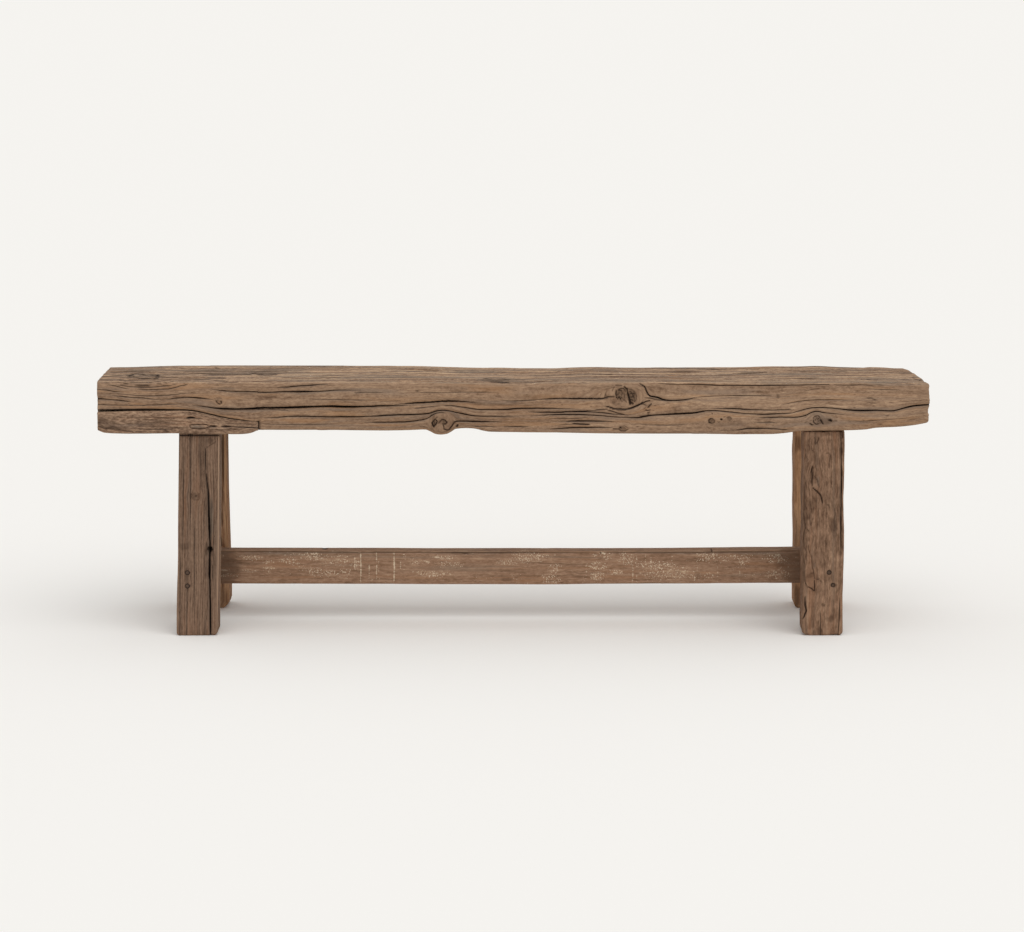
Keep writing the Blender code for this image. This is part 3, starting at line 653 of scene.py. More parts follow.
def random_cracks(seed, side, ends, across_ends, scatter):
    """Scatter wavering cracks along one side."""
    low, high = ends
    chance = np.random.default_rng(seed)
    cracks = []
    for _ in range(scatter.count):
        length = chance.uniform(*scatter.lengths) * chance.uniform(CRACK_LEAST_SHARE, 1)
        start = chance.uniform(low - length * CRACK_OVERHANG[0], high - length * CRACK_OVERHANG[1])
        end = min(start + length, high)
        start = max(start, low)
        across = chance.uniform(*across_ends)
        steps = max(3, int((end - start) / CRACK_WANDER_LENGTH) + 1)
        drift = chance.normal(0, scatter.wander, steps).cumsum()
        drift -= np.linspace(drift[0], drift[-1], steps)
        tilt = chance.normal(0, scatter.wander)
        places = []
        for step in range(steps):
            wandered = across + drift[step] + tilt * step / (steps - 1)
            places.append((start + (end - start) * step / (steps - 1),
                           min(max(wandered, across_ends[0]), across_ends[1])))
        strength = chance.uniform(0, 1) ** 2
        half_width, depth = (least + (most - least) * strength
                             for least, most in (scatter.half_widths, scatter.depths))
        cracks.append(Crack(side, tuple(places), half_width, depth))
    return cracks


# Half widths and depths of the cracks that the photograph shows
HAIRLINE = (0.00035, 0.0010)
FINE = (0.0005, 0.0018)
PLAIN = (0.0009, 0.0034)
WIDE = (0.0012, 0.0058)
BROAD = (0.0015, 0.0065)
MAIN = (0.0020, 0.0085)
SEAM = (0.0011, 0.0010)

# Cracks in the seat's front, as they run through the photograph
SEAT_FRONT_CRACK_PIXELS = (
    (MAIN, ((189.5, 405.2), (205, 407), (220, 409), (235, 409.6), (252, 409.3), (262, 408.1),
            (274, 408.1), (289, 407.8), (312, 407), (330, 406.6), (343, 407), (366, 406.7), (381, 406),
            (401, 405.5), (414, 405))),
    (WIDE, ((391, 404.9), (412, 403.2), (427, 402.5), (450, 401.2), (465.5, 402), (482, 403.5))),
    (WIDE, ((207, 389), (221.6, 390.7), (235, 391.6), (250, 392), (263.7, 392.5), (281.6, 392),
            (302.6, 391.8), (323.7, 391.3), (339.5, 390.2), (364, 390.2))),
    (FINE, ((352, 392.5), (368, 392.3), (385, 392.6))),
    (PLAIN, ((274.7, 387.6), (288.9, 387.1), (302.6, 385.7), (317.4, 384.7), (331, 384.4))),
    (FINE, ((98.4, 389.8), (106.5, 390.5), (114, 391.8), (124, 392.3))),
    (PLAIN, ((97.8, 399.3), (106.5, 399.8), (115.3, 400.5), (124, 401.4), (131.5, 402))),
    (FINE, ((105.3, 384.5), (112.8, 386), (121.5, 388), (130.3, 389.8))),
    (PLAIN, ((135, 389.2), (146.5, 389.8), (156.5, 389.5), (166.5, 389.3), (174, 388), (181.5, 385.8),
             (190, 384.8))),
    (FINE, ((112, 384.4), (122, 386), (134, 387.3), (146, 387.7), (158, 386.9), (170, 385.6),
            (180, 384.2))),
    (HAIRLINE, ((100, 394), (118, 394.2), (136, 395.6), (152, 396.2), (170, 395.2), (188, 393.4),
                (204, 393.6))),
    (FINE, ((97.8, 405.1), (119, 405.5), (139, 405.5), (156.5, 405.1), (169, 404.5), (187, 404))),
    (FINE, ((106.5, 395.5), (119, 396.4), (129, 397.4), (144, 398.3), (156.5, 399.5), (166, 399.4))),
    (PLAIN, ((163, 399.5), (169, 399.3), (180.3, 398), (190, 397.6), (200, 398.3), (214, 399.6))),
    (WIDE, ((257, 417.4), (273.7, 417.8), (289, 416.5), (330, 417), (350, 417), (373.6, 416.2),
            (396.6, 415), (419.5, 414.4), (428.3, 413.6), (435, 411.6), (440, 410.4), (445, 410.3),
            (449, 410.8), (453, 411.6), (459, 413.1), (465, 414.5), (473, 415.8), (488.5, 416.5),
            (511.4, 416.4), (530, 416))),
    (WIDE, ((361, 422.1), (376.3, 422.4), (393.2, 422.3), (412, 421.3), (420, 420.2), (425, 419.2),
            (429.2, 417.3), (432.5, 414.9), (436, 413.2), (442, 412.3), (449, 413.4))),
    (WIDE, ((437, 405.1), (451.7, 405.8), (465.5, 407.8), (480.8, 409.8), (503.8, 409.8), (518, 408.9),
            (533, 408.6), (556, 408.7), (578, 409.2))),
    (FINE, ((412, 408.6), (428, 407.1), (441, 405.3))),
    (HAIRLINE, ((378, 401.8), (392, 401), (404, 400.8))),
    (FINE, ((250, 410), (262, 409.7), (275, 409.9), (292, 410.8))),
    (PLAIN, ((455, 421.6), (465.5, 421.5), (485, 421.9), (504, 422))),
    (FINE, ((460, 426.2), (478, 426.3), (497, 426.7))),
    (FINE, ((500, 400.6), (512, 401.2), (530, 400.4), (545, 399.6))),
    (WIDE, ((536, 399.8), (548, 399.2), (560, 398.7), (575, 398.9), (590, 398.9), (600, 398.8),
            (612, 396.4))),
    (WIDE, ((639, 383.2), (642.7, 385.2), (645.2, 387.8), (646.6, 391), (648.2, 394.3), (651, 396.4),
            (657.7, 397.6), (661.8, 399.4), (668, 400.3), (677, 400.5), (687.8, 399.4), (697, 397.4))),
    (FINE, ((690, 398.8), (697, 397.4), (718.4, 396), (741, 395.6), (775, 395.6))),
    (PLAIN, ((525, 411), (533, 412.2), (545, 412.5), (556, 412.5), (570, 411.9), (582, 411.4),
             (592, 410.8), (604, 409.8))),
    (PLAIN, ((554, 412.3), (566, 411.9), (578, 411.9), (590, 412.1), (602, 412.7), (611, 413.9),
             (630, 415.3))),
    (FINE, ((549, 418.9), (560, 418.7), (575, 418.4), (591, 417.6))),
    (FINE, ((500, 426.4), (515, 426.8), (532, 426.8))),
    (PLAIN, ((530, 416), (541, 415.6), (550, 415), (565, 414.6), (580, 414.8), (600, 415.8),
             (612, 416.9), (625, 417.6), (636, 417.8))),
    (WIDE, ((616, 417.1), (625, 417.6), (636, 417.8), (646, 416.5), (651, 415.5), (658, 414.9),
            (664.8, 414.6), (680, 413.9), (695.4, 412.9), (706, 410.9), (715, 410.6), (726, 411.6),
            (741, 413.2))),
    (PLAIN, ((704, 411.2), (715, 410.6), (726, 411.6), (741, 413.2), (764.3, 414.4), (780, 413.7),
             (790, 413.4), (798, 411.4))),
    (WIDE, ((784, 413.6), (790, 413.4), (800.4, 410.6), (813.7, 407.8), (822.9, 407.6), (833, 408.3),
            (849.4, 410.1), (861.6, 410.6), (877, 410.3), (893.3, 410.9), (902.4, 408.6), (912.7, 406.2),
            (928.6, 404.7))),
    (PLAIN, ((710, 408.4), (733.7, 408.6), (749, 409.8), (772, 410.1), (796, 409.4))),
    (PLAIN, ((603, 405.7), (617, 408.7), (628, 408.9), (637, 406.3), (645, 401.6))),
    (PLAIN, ((548, 429.6), (565, 428.5), (580.6, 427.7), (598, 427.5), (614, 427.8))),
    (FINE, ((553, 425.6), (568, 424.6), (580.6, 424.2), (591, 424.3))),
    (PLAIN, ((557, 421.7), (580.6, 421.1), (600, 421.3), (616, 421.7))),
    (PLAIN, ((753, 417.6), (780, 417.2), (795, 417.4), (805.5, 415.7), (812.7, 412.1), (817.8, 411.4),
             (823.9, 412.7), (833, 413.7), (847, 414.8))),
    (FINE, ((753, 422.5), (765, 422.3), (778, 422.4))),
    (PLAIN, ((713, 430.6), (733.7, 430.3), (749, 428.5), (764, 428.5), (790, 430), (812, 430.8))),
    (FINE, ((778, 405.3), (790, 403), (805.5, 400.6), (820.8, 399.9), (853, 400.2))),
    (HAIRLINE, ((300, 400.4), (330, 399.6), (360, 400.2), (392, 399.8))),
    (HAIRLINE, ((405, 391.8), (440, 392.6), (470, 392.2), (500, 393))),
    (HAIRLINE, ((258, 424.2), (300, 424.6), (340, 424))),
    (HAIRLINE, ((640, 424.6), (665, 425.2), (690, 424.4))),
    (HAIRLINE, ((840, 420.6), (862, 421.2), (890, 419.4), (915, 417.8))),
    (HAIRLINE, ((860, 388.6), (880, 389.4), (905, 390.2))),
)
# The block's top edge, where it meets the beam
BLOCK_TOP_PIXELS = (
    (96, 410.6), (136, 409.8), (165, 409.6), (182, 409.8), (197, 411.2), (212.5, 414.7), (228, 418),
    (243, 420), (258.6, 421.2),
)
# Widths of the seam between block and beam, in metres
BLOCK_SEAM_PIXELS = ((97, 0.003), (170, 0.0028), (192, 0.0018), (225, 0.0016), (258, 0.001))
BLOCK_CRACK_PIXELS = (
    (PLAIN, ((208.5, 426.3), (213, 426.2), (217.5, 426.3))),
    (PLAIN, ((220.5, 426.3), (226, 426.4), (232, 426.7))),
    (FINE, ((233, 426.8), (245, 427.2), (257, 427.9))),
    (HAIRLINE, ((150, 417), (168, 417.4), (184, 417))),
    (HAIRLINE, ((130, 428.6), (150, 429.4), (176, 429))),
    (WIDE, ((185.5, 417.9), (189, 417.6), (193, 417.7), (196, 418))),
)

# Lines that the grain follows across the seat's front, from the lowest to the highest
SEAT_GUIDE_PIXELS = (
    ((97, 426), (258, 426), (330, 424), (361, 422.4), (389, 422.4), (412, 421.3), (420, 420.2),
     (425, 419.2), (429.2, 417.3), (432.5, 414.9), (436, 413.3), (442, 412.3), (447, 412.8),
     (451, 415.4), (457, 421), (465, 421.6), (502, 422), (560, 421.7), (614, 421.6), (660, 421.6),
     (700, 419.6), (755, 417.5), (780, 417.2), (795, 417.4), (805.5, 415.7), (812.7, 412.1),
     (817.8, 411.4), (823.9, 412.7), (833, 413.7), (845, 414.7), (880, 417), (928, 413)),
    ((96, 410.6), (136, 409.8), (165, 409.6), (182, 409.8), (197, 411.2), (212.5, 414.7), (228, 418),
     (243, 420), (258.6, 421.2), (264, 418.6), (273.7, 417.8), (289, 416.5), (330, 417), (350, 417),
     (373.6, 416.2), (396.6, 415), (419.5, 414.4), (428.3, 413.6), (435, 411.6), (440, 410.4),
     (445, 410.3), (449, 410.8), (453, 411.6), (459, 413.1), (465, 414.5), (473, 415.8), (488.5, 416.5),
     (511.4, 416.4), (534.4, 415.9), (550, 415), (565, 414.6), (580, 414.8), (600, 415.8), (612, 416.9),
     (625, 417.6), (636, 417.8), (645, 416.8), (651, 415.5), (658, 414.9), (664.8, 414.6), (680, 413.9),
     (695.4, 412.9), (706, 410.9), (715, 410.6), (726, 411.6), (741, 413.2), (764.3, 414.4),
     (780, 413.7), (790, 413.4), (800.4, 410.6), (813.7, 407.8), (822.9, 407.6), (833, 408.3),
     (849.4, 410.1), (861.6, 410.6), (877, 410.3), (893.3, 410.9), (902.4, 408.6), (912.7, 406.2),
     (928.6, 404.7)),
    ((97, 399.2), (113, 400), (136, 404.7), (174, 404), (189.5, 405.2), (205, 407), (220, 409),
     (235, 409.6), (252, 409.3), (262, 408.1), (274, 408.1), (289, 407.8), (312, 407), (330, 406.6),
     (343, 407), (366, 406.7), (381, 406), (401, 405.5), (412, 405), (425, 405), (439.4, 405.2),
     (451.7, 405.8), (465.5, 407.8), (480.8, 409.8), (503.8, 409.8), (518, 409.2), (533, 410),
     (556, 411.6), (578, 411.8), (596, 411.6), (608, 411.2), (620, 410.6), (630, 409.6), (637, 407),
     (643, 403.6), (654, 401), (664.8, 400.7), (677, 401), (690, 401.5), (720, 403.5), (755, 404.5),
     (780, 403.6), (805, 401), (851, 400.6), (880, 401.5), (928, 400)),
    ((97, 388.4), (106.8, 386.8), (117.6, 387.2), (128.3, 388.8), (140.5, 389.6), (155.8, 389.5),
     (166.5, 389.2), (178, 388), (190, 387.6), (209, 389.4), (221.6, 390.7), (243, 391.4), (266, 392.5),
     (289, 391.7), (312, 391.1), (330, 390.7), (350.6, 390.2), (364.4, 390.4), (383, 391.5), (430, 394),
     (480, 397), (520, 399), (542, 400), (560, 399), (573, 399), (590, 396), (602, 390), (614, 386.4),
     (628, 385.6), (640, 387), (647, 392), (654, 395.4), (664.8, 396.2), (677, 396), (688, 395.6),
     (700, 395.4), (718.4, 395.2), (741, 395), (773.5, 395), (800, 393.5), (851, 392.5), (928, 392)),
)
SEAT_GUIDE_ROWS = (21, 10, 13, 17, 19)
# Knots of the seat's front: place, reaches, then bulge and pit in metres
SEAT_FRONT_KNOT_PIXELS = (
    ((625, 396.2), 20, 11, 0.0018, 0.0028),
    ((441.6, 422.6), 12.5, 10.2, 0.0034, 0.003),
    ((817.2, 420.3), 5, 4.6, 0.0008, 0.0012),
    ((830.5, 420.3), 2.6, 2.4, 0, 0.0026),
    ((711.5, 420.8), 3.6, 3.3, 0.0004, 0.0016),
    ((721.4, 419.3), 1.8, 1.6, 0, 0.003),
    ((729, 418.5), 3.4, 3, 0.0004, 0.001),
    ((622.7, 428.8), 4.6, 3.4, 0.0004, 0.001),
    ((218.6, 400.9), 4.2, 3.8, 0.0006, 0.0012),
)
SEAT_TOP_KNOT_PIXELS = (
    ((146, 375.5), 14, 2.9, 0.001, 0.0026),
    ((497, 379.4), 13, 1.9, 0.0004, 0.0022),
    ((267, 375.2), 10, 1.3, 0, 0.0018),
)
# Stretches of the seat, in pixels across the photograph, where the grid is finer, with its spacing in metres
SEAT_CLOSE_PIXELS = ((100, 164, 0.003), (212, 240, 0.003), (430, 459, 0.0014), (603, 653, 0.0014),
                     (707, 732, 0.002), (810, 834, 0.002))
# Strokes: half width in pixels, darkness (below zero for a light one), depth in metres, then the line
SEAT_STROKES = (
    # Right knot: left part, dark ridge, right part, then the arc below and the chips beside it
    (0.9, 0.9, 0.0022, ((596, 399.2), (604.3, 398.5), (608.5, 396.8), (615.6, 396))),
    (0.6, 0.7, 0.0012, ((604.6, 397.4), (605.6, 393.6))),
    (0.7, 0.9, 0.0022, ((616, 390.2), (615.9, 394), (616.4, 397.6), (618, 399.2))),
    (0.6, 0.8, 0.0018, ((616.6, 395.6), (618.4, 393.6), (619.4, 392.2))),
    (0.7, 0.9, 0.0022, ((617.6, 398.6), (619.6, 396.8), (620.4, 399.4), (621.6, 397.2))),
    (0.6, 0.6, 0.0012, ((620.4, 400.2), (622.2, 401.2))),
    (0.6, 0.8, 0.0012, ((622.6, 387.6), (624.6, 389.6), (625.4, 392))),
    (0.6, 0.8, 0.001, ((618.6, 389.2), (621, 388.2), (623.4, 388.4))),
    (0.6, 0.8, 0.001, ((620.8, 391), (622.6, 393.2), (621.4, 395.6))),
    (0.6, 0.8, 0.001, ((617.2, 391.4), (619.4, 390), (621.8, 390.4))),
    (0.6, 0.7, 0.001, ((623.2, 392.4), (624.8, 395.4), (624.2, 398.4))),
    (0.6, 0.7, 0.001, ((622.4, 399), (625.2, 400.6), (627.4, 403))),
    (0.5, 0.6, 0.0008, ((612.2, 391), (613.4, 387.8), (616.4, 385.8))),
    (0.5, 0.6, 0.0008, ((613, 402.4), (618, 404), (624, 404.6))),
    (0.6, 0.7, 0.0012, ((615.6, 385.4), (621, 385.6), (624.3, 386.8), (627.3, 388.5))),
    (0.9, 0.9, 0.003, ((624.5, 387.2), (627.2, 388.9), (627.6, 392.7))),
    (1.1, 1, 0.004, ((627.6, 392.5), (628.6, 396), (629.4, 399), (629.9, 404.6))),
    (1, 1, 0.003, ((628.6, 399.6), (630.8, 402), (630.2, 404.8))),
    (0.6, 0.7, 0.0015, ((628.4, 388.6), (631.5, 389.2), (634.2, 391.4), (636.2, 395), (636.6, 399),
                        (634.6, 402.4), (631.6, 404.2))),
    (0.6, 0.9, 0.0014, ((630.4, 391.4), (632.8, 394.4), (632.4, 398))),
    (0.6, 0.9, 0.0014, ((634.2, 392.6), (633.6, 396.4), (634.8, 399.6))),
    (0.6, 0.8, 0.001, ((631.4, 398.6), (633, 400.6))),
    (0.6, 0.9, 0.0012, ((629.2, 391.2), (632.8, 390.2))),
    (0.6, 0.9, 0.0012, ((629.6, 394), (634.8, 393))),
    (0.6, 0.9, 0.0012, ((630, 396.8), (635.8, 397))),
    (0.6, 0.9, 0.0012, ((630.4, 399.4), (635.4, 401.4))),
    (0.6, 0.9, 0.0012, ((631.2, 401.8), (633.6, 403.8))),
    (0.9, 1, 0.0024, ((639.2, 383.2), (642.7, 385.2), (645.2, 387.7), (646.4, 391), (648, 394.3),
                      (650.2, 396.2), (654.3, 396.9), (657.7, 397.5), (660.6, 398.6), (664, 400.2),
                      (671, 400.7))),
    (0.85, 1, 0.003, ((605.2, 406), (608.5, 407), (612.7, 408.7), (617.7, 409.8), (625.2, 409.8),
                      (631.8, 408), (637.7, 405.2), (642.3, 403.5), (646, 401.4), (650.2, 400.6))),
    (1.3, 1, 0.003, ((641, 404.2), (643.4, 402.6))),
    (0.7, 0.8, 0.0016, ((596, 410.2), (601, 409.5), (606.8, 409.8), (612.7, 411.4), (617.2, 413),
                        (624.5, 414.6))),
    (0.9, 1, 0.0018, ((651.4, 404), (649.4, 406), (647.7, 408))),
    (0.7, 0.9, 0.0012, ((645, 410), (647.6, 410.6), (650.6, 410.2))),
    (0.6, 0.8, 0.001, ((646.6, 412.4), (650.2, 412.2))),
    (0.6, 0.8, 0.001, ((643.8, 404.6), (646.8, 405.4))),
    (0.5, 0.5, 0.0008, ((646.5, 413.4), (650, 413.6))),
    (0.7, 0.7, 0.0012, ((645.2, 397.8), (650, 398), (654.3, 399.3), (659.3, 400.2), (664, 400.8))),
    (0.6, 0.35, 0.0005, ((598, 394.4), (602, 391), (608, 388.4), (614, 387.4))),
    (0.5, 0.35, 0.0005, ((638.5, 389), (642, 392.6), (643.2, 396.6), (641, 400.6))),
    (0.5, 0.45, 0.0006, ((631, 424.4), (639, 424.2), (646.8, 424.4))),
    # Splits left of the small knot near the lower edge
    (0.9, 1, 0.0018, ((572, 423.6), (580, 424.3), (590.5, 424.5))),
    (0.6, 0.7, 0.001, ((566, 421.6), (585, 421.4), (612, 421.4))),
    (0.6, 0.8, 0.0012, ((612.7, 428.9), (619.6, 429.2))),
    (0.8, 1, 0.0018, ((619.8, 427), (621.2, 428.2))),
    (0.6, 0.7, 0.0014, ((619.6, 427.2), (618.9, 429.2), (621, 431), (625, 431), (628.4, 429.2))),
    (0.5, 0.5, 0.0008, ((620.4, 426.6), (624.4, 425.8), (628, 428))),
    # Knot on the lower edge
    (0.8, 1, 0.0025, ((435.4, 418.6), (433.4, 420.8), (432, 422.8), (433.8, 426.5), (436.2, 423.6),
                      (437.2, 421.4), (435.4, 418.6))),
    (0.5, 0.7, 0.0012, ((435.6, 418.4), (437, 416.6), (437.8, 417.2))),
    (0.8, 0.9, 0.002, ((438.8, 422.8), (440.4, 421), (442, 419.4), (444.6, 419.8), (447, 421.9),
                       (445.4, 424), (442.2, 424))),
    (0.5, 0.6, 0.0012, ((441.8, 421.6), (443.6, 421.4), (444.6, 422.4))),
    (0.8, 0.9, 0.0018, ((442.6, 423.6), (443.8, 426.5), (443.9, 428.6), (446.7, 429.8), (448.8, 429.6),
                        (451.7, 426), (453.3, 423.6), (455, 421.6), (459.2, 421), (465, 421.3))),
    (1.1, 1, 0.003, ((458, 424.6), (456.6, 426.6), (457.2, 428))),
    (0.6, 0.6, 0.001, ((430.2, 416.6), (431.8, 413.8))),
    (0.6, 0.6, 0.001, ((432.4, 415.4), (434.4, 412.4))),
    (0.5, 0.5, 0.0008, ((434.6, 414.2), (436.6, 411.6))),
    (0.5, 0.45, 0.0008, ((420, 426.5), (424, 426.6), (428, 427.2))),
    (0.5, 0.45, 0.0008, ((461.7, 426.2), (469, 426.4))),
    (0.5, 0.4, 0.0008, ((436, 430), (441, 432), (447, 431.4))),
    # Eye on the top at the left, with the grain bent round it
    (0.9, 1, 0.0016, ((127.4, 375.6), (130.8, 375), (133.8, 374.2))),
    (0.6, 0.8, 0.001, ((129.4, 376.8), (133, 376.3), (136.4, 376.8))),
    (0.6, 0.9, 0.001, ((149.6, 374.6), (153.6, 375.8))),
    (0.6, 0.9, 0.001, ((153, 374.8), (156, 376.4))),
    (0.5, 0.7, 0.0008, ((138, 374.8), (143, 374.2), (147.6, 374.6))),
    (0.6, 0.8, 0.001, ((134.5, 373.9), (139, 373), (144, 372.4), (150, 372.5))),
    (1.2, 1, 0.0028, ((149.5, 373), (154.4, 373.8), (158.4, 375.6), (157.2, 377.2), (153, 378))),
    (0.6, 0.9, 0.0012, ((134, 376.9), (140, 377.8), (147, 378.1), (153, 378))),
    (0.5, 0.8, 0.001, ((161.8, 376), (164.5, 376.4))),
    (0.5, 0.85, 0.0006, ((117, 378.6), (124, 380.6), (134, 382.3), (145, 382.6), (158, 381.4),
                         (170, 379.2))),
    (0.5, 0.85, 0.0006, ((116, 381.2), (126, 383.2), (136, 384.8), (147, 385.2), (160, 383.6), (174, 381))),
    (0.5, 0.55, 0.0005, ((122.8, 378.4), (130, 380.4), (136.5, 381.9))),
    (0.5, 0.6, 0.0005, ((118, 384), (128, 386), (140, 387.2), (152, 387), (168, 385.2), (182, 382.4))),
    (0.6, 0.6, 0.0005, ((101.5, 375.9), (119, 375.2), (127.8, 374.6))),
    (0.6, 0.7, 0.0005, ((163, 375), (178, 374.2), (206, 373.6))),
    (0.6, 0.5, 0.0006, ((102.9, 381.4), (107, 382.2), (111.8, 383.7))),
    (0.7, 0.9, 0.0012, ((216, 400.4), (217.2, 402.9), (219.4, 404.2), (221.4, 403), (221, 400.6))),
    (0.5, 0.7, 0.0008, ((217.8, 400.2), (219.2, 401.6), (218.6, 402.6))),
    (0.5, 0.5, 0.0006, ((214.6, 398.6), (218.4, 397.8), (222.6, 398.6))),
    (0.6, 0.8, 0.0014, ((213.6, 380.1), (222, 380.5), (231, 380.2))),
    (0.5, 0.7, 0.0012, ((223, 381.7), (230, 381.9), (238, 382.1))),
    (0.5, 0.6, 0.001, ((194, 379), (202, 379.1), (211, 379.2))),
    (0.5, 0.6, 0.001, ((212, 384.4), (219, 384.7))),
    (0.6, 0.8, 0.0012, ((213.6, 367.3), (218.8, 367.8))),
    (0.6, 0.85, 0.0012, ((256, 374.2), (266, 374.8), (276, 374.4))),
    (0.5, 0.75, 0.001, ((250, 372.8), (262, 373.4), (287, 373.2))),
    (0.6, 0.8, 0.0008, ((178, 371.2), (210, 370.8), (240, 371.4), (287, 371))),
    (0.6, 0.8, 0.0008, ((204, 374.8), (232, 374.4), (250, 374.6))),
    (0.6, 0.7, 0.0008, ((110, 372.2), (128, 371.4), (150, 370.6))),
    (0.6, 0.7, 0.0008, ((176, 378), (200, 378.6), (226, 378))),
    (0.6, 0.7, 0.0008, ((282, 377.6), (310, 378.2), (342, 377.4))),
    (0.7, 0.95, 0.001, ((484, 378.8), (498, 379.2), (512, 379.6))),
    (0.7, 0.85, 0.001, ((490, 381.4), (509, 381.9))),
    (0.6, 1, 0.0014, ((258.3, 421.4), (258.8, 426), (258.6, 430.6))),
    (0.75, 0.9, 0, ((640, 417), (651, 415.5), (664.8, 414.6), (680, 413.9), (695.4, 412.9), (704, 411.4))),
    (0.6, 0.8, 0, ((706, 410.9), (715, 410.6), (726, 411.6), (741, 413.2))),
    (0.75, 0.85, 0, ((846, 409.8), (861.6, 410.6), (877, 410.3), (893.3, 410.9), (902.4, 408.6),
                     (912, 406.4))),
    (0.9, 0.9, 0, ((98.8, 409.9), (112, 409.9), (128, 409.7), (142, 409.3), (156, 409.3), (166, 409.9))),
    (0.6, 1.15, 0.0012, ((733.7, 373.2), (749, 372.6), (767, 372.3))),
    (0.4, 0.7, 0.0008, ((712, 374.6), (724, 374.4), (733, 374.2))),
    (0.45, 0.65, 0.0008, ((782, 370.6), (806, 371.4), (830, 371))),
    (0.4, 0.55, 0.0008, ((690, 368.6), (712, 369.2), (740, 368.8))),
    (0.5, 0.5, 0.0008, ((365, 370.2), (372, 370.6), (381, 370.2))),
    (0.5, 0.5, 0.0008, ((346, 379.6), (362, 380.6), (374, 380.4))),
    (0.5, 0.6, 0.0008, ((500, 379.8), (517, 379.4), (530, 378.9), (545, 378.4))),
    (0.5, 0.5, 0.0008, ((500, 382.6), (520, 382.2), (545, 381.4), (562, 380.6))),
    (0.6, 0.8, 0.0008, ((196, 373.6), (220, 374.2), (252, 373.9))),
    (0.45, 0.65, 0.0006, ((300, 375.4), (330, 375), (356, 375.6))),
    (0.45, 0.65, 0.0006, ((396, 373.6), (420, 373.2), (452, 373.8))),
    (0.45, 0.65, 0.0006, ((560, 374.2), (590, 373.8), (612, 374.4))),
    (0.45, 0.65, 0.0006, ((640, 371.4), (670, 371.8), (700, 371.2))),
    (0.45, 0.65, 0.0006, ((800, 371), (830, 371.6), (862, 371.2))),
    (0.45, 0.65, 0.0006, ((770, 378.4), (800, 378), (840, 378.6))),
    (0.8, 1, 0.0014, ((657, 383.3), (687.8, 384.2), (718.4, 384.9), (749, 385.4), (790, 384.9),
                      (829, 384.6))),
    (0.6, 0.7, 0.001, ((834, 384.6), (846, 385.3), (859.6, 384.6))),
    (0.6, 0.5, 0.0008, ((655, 381.5), (700, 380.6), (742, 381.4))),
    (0.7, 0.7, 0.0012, ((866, 398.8), (870, 397.4), (877, 400.6))),
    (0.5, 0.8, 0.0008, ((846, 385.4), (858, 384.4), (870, 385.2), (884, 384.8))),
    (0.5, 0.7, 0.0008, ((868, 402.4), (872, 403.4), (876, 402.8))),
    (0.5, 0.6, 0.0006, ((890, 402), (893, 403.6))),
    (0.5, 0.6, 0.0006, ((884, 414.8), (888, 415.4), (886.4, 416.8))),
    (0.5, 0.6, 0.0006, ((879, 422.6), (881.6, 425.2))),
    (0.5, 0.5, 0.0006, ((804, 391.4), (812, 389.4), (820, 388.4))),
    (0.5, 0.5, 0.0006, ((900, 401.8), (916, 400.6), (927, 399.4))),
    (0.7, 0.6, 0.0012, ((912, 377.2), (916, 379.6), (921, 380.4))),
    (0.8, 0.8, 0.001, ((396.4, 389.6), (397, 391.4))),
    (0.8, 0.7, 0.001, ((417.6, 390.4), (418.2, 392))),
    (0.6, 0.6, 0.0008, ((779.4, 390.2), (777.6, 397), (776.2, 403))),
    (0.6, 0.8, 0.0012, ((812.6, 419), (814.6, 416.4), (818.4, 415.8), (820.6, 418))),
    (0.9, 1, 0.0016, ((820.4, 418.6), (821.8, 422), (823.2, 424.4))),
    (0.7, 0.9, 0.0014, ((812.8, 418.8), (813.4, 422), (816.2, 424.4), (820, 423.2))),
    (0.8, 0.9, 0.0012, ((809.8, 423.4), (811.6, 424.8), (813.2, 424.8))),
    (0.6, 0.8, 0.001, ((815.4, 420.4), (816.2, 418.4), (818.8, 418.2), (819.6, 420.4), (817.8, 422))),
    (0.6, 0.9, 0.001, ((817.4, 419.8), (818.4, 420.2))),
    (1.2, 1, 0.002, ((828.4, 420), (832.2, 421.2))),
    (0.5, 0.7, 0.0008, ((833, 421), (838, 420.8))),
    (0.75, 1, 0.0014, ((712, 423.4), (709.2, 422.4), (708.6, 420.2), (710.4, 418.6), (712.8, 418.6))),
    (0.6, 0.8, 0.001, ((712.8, 418.6), (714.4, 420.4), (714.2, 422.2), (712, 423.4))),
    (0.5, 0.6, 0.0008, ((711, 422.2), (711.6, 420.4), (713, 420.2))),
    (0.5, 0.6, 0.0006, ((717, 421.6), (718.6, 422.2), (720, 421.4))),
    (0.5, 0.6, 0.0006, ((723, 417.6), (724.6, 416.6), (726, 417))),
    (0.7, 0.9, 0.001, ((711.6, 413.6), (712.4, 413.6))),
    (0.8, 0.9, 0.0016, ((720.8, 418.8), (722, 420))),
    (0.6, 0.6, 0.001, ((726.6, 417.6), (729.6, 416.6), (731.6, 419), (729, 420.8))),
)
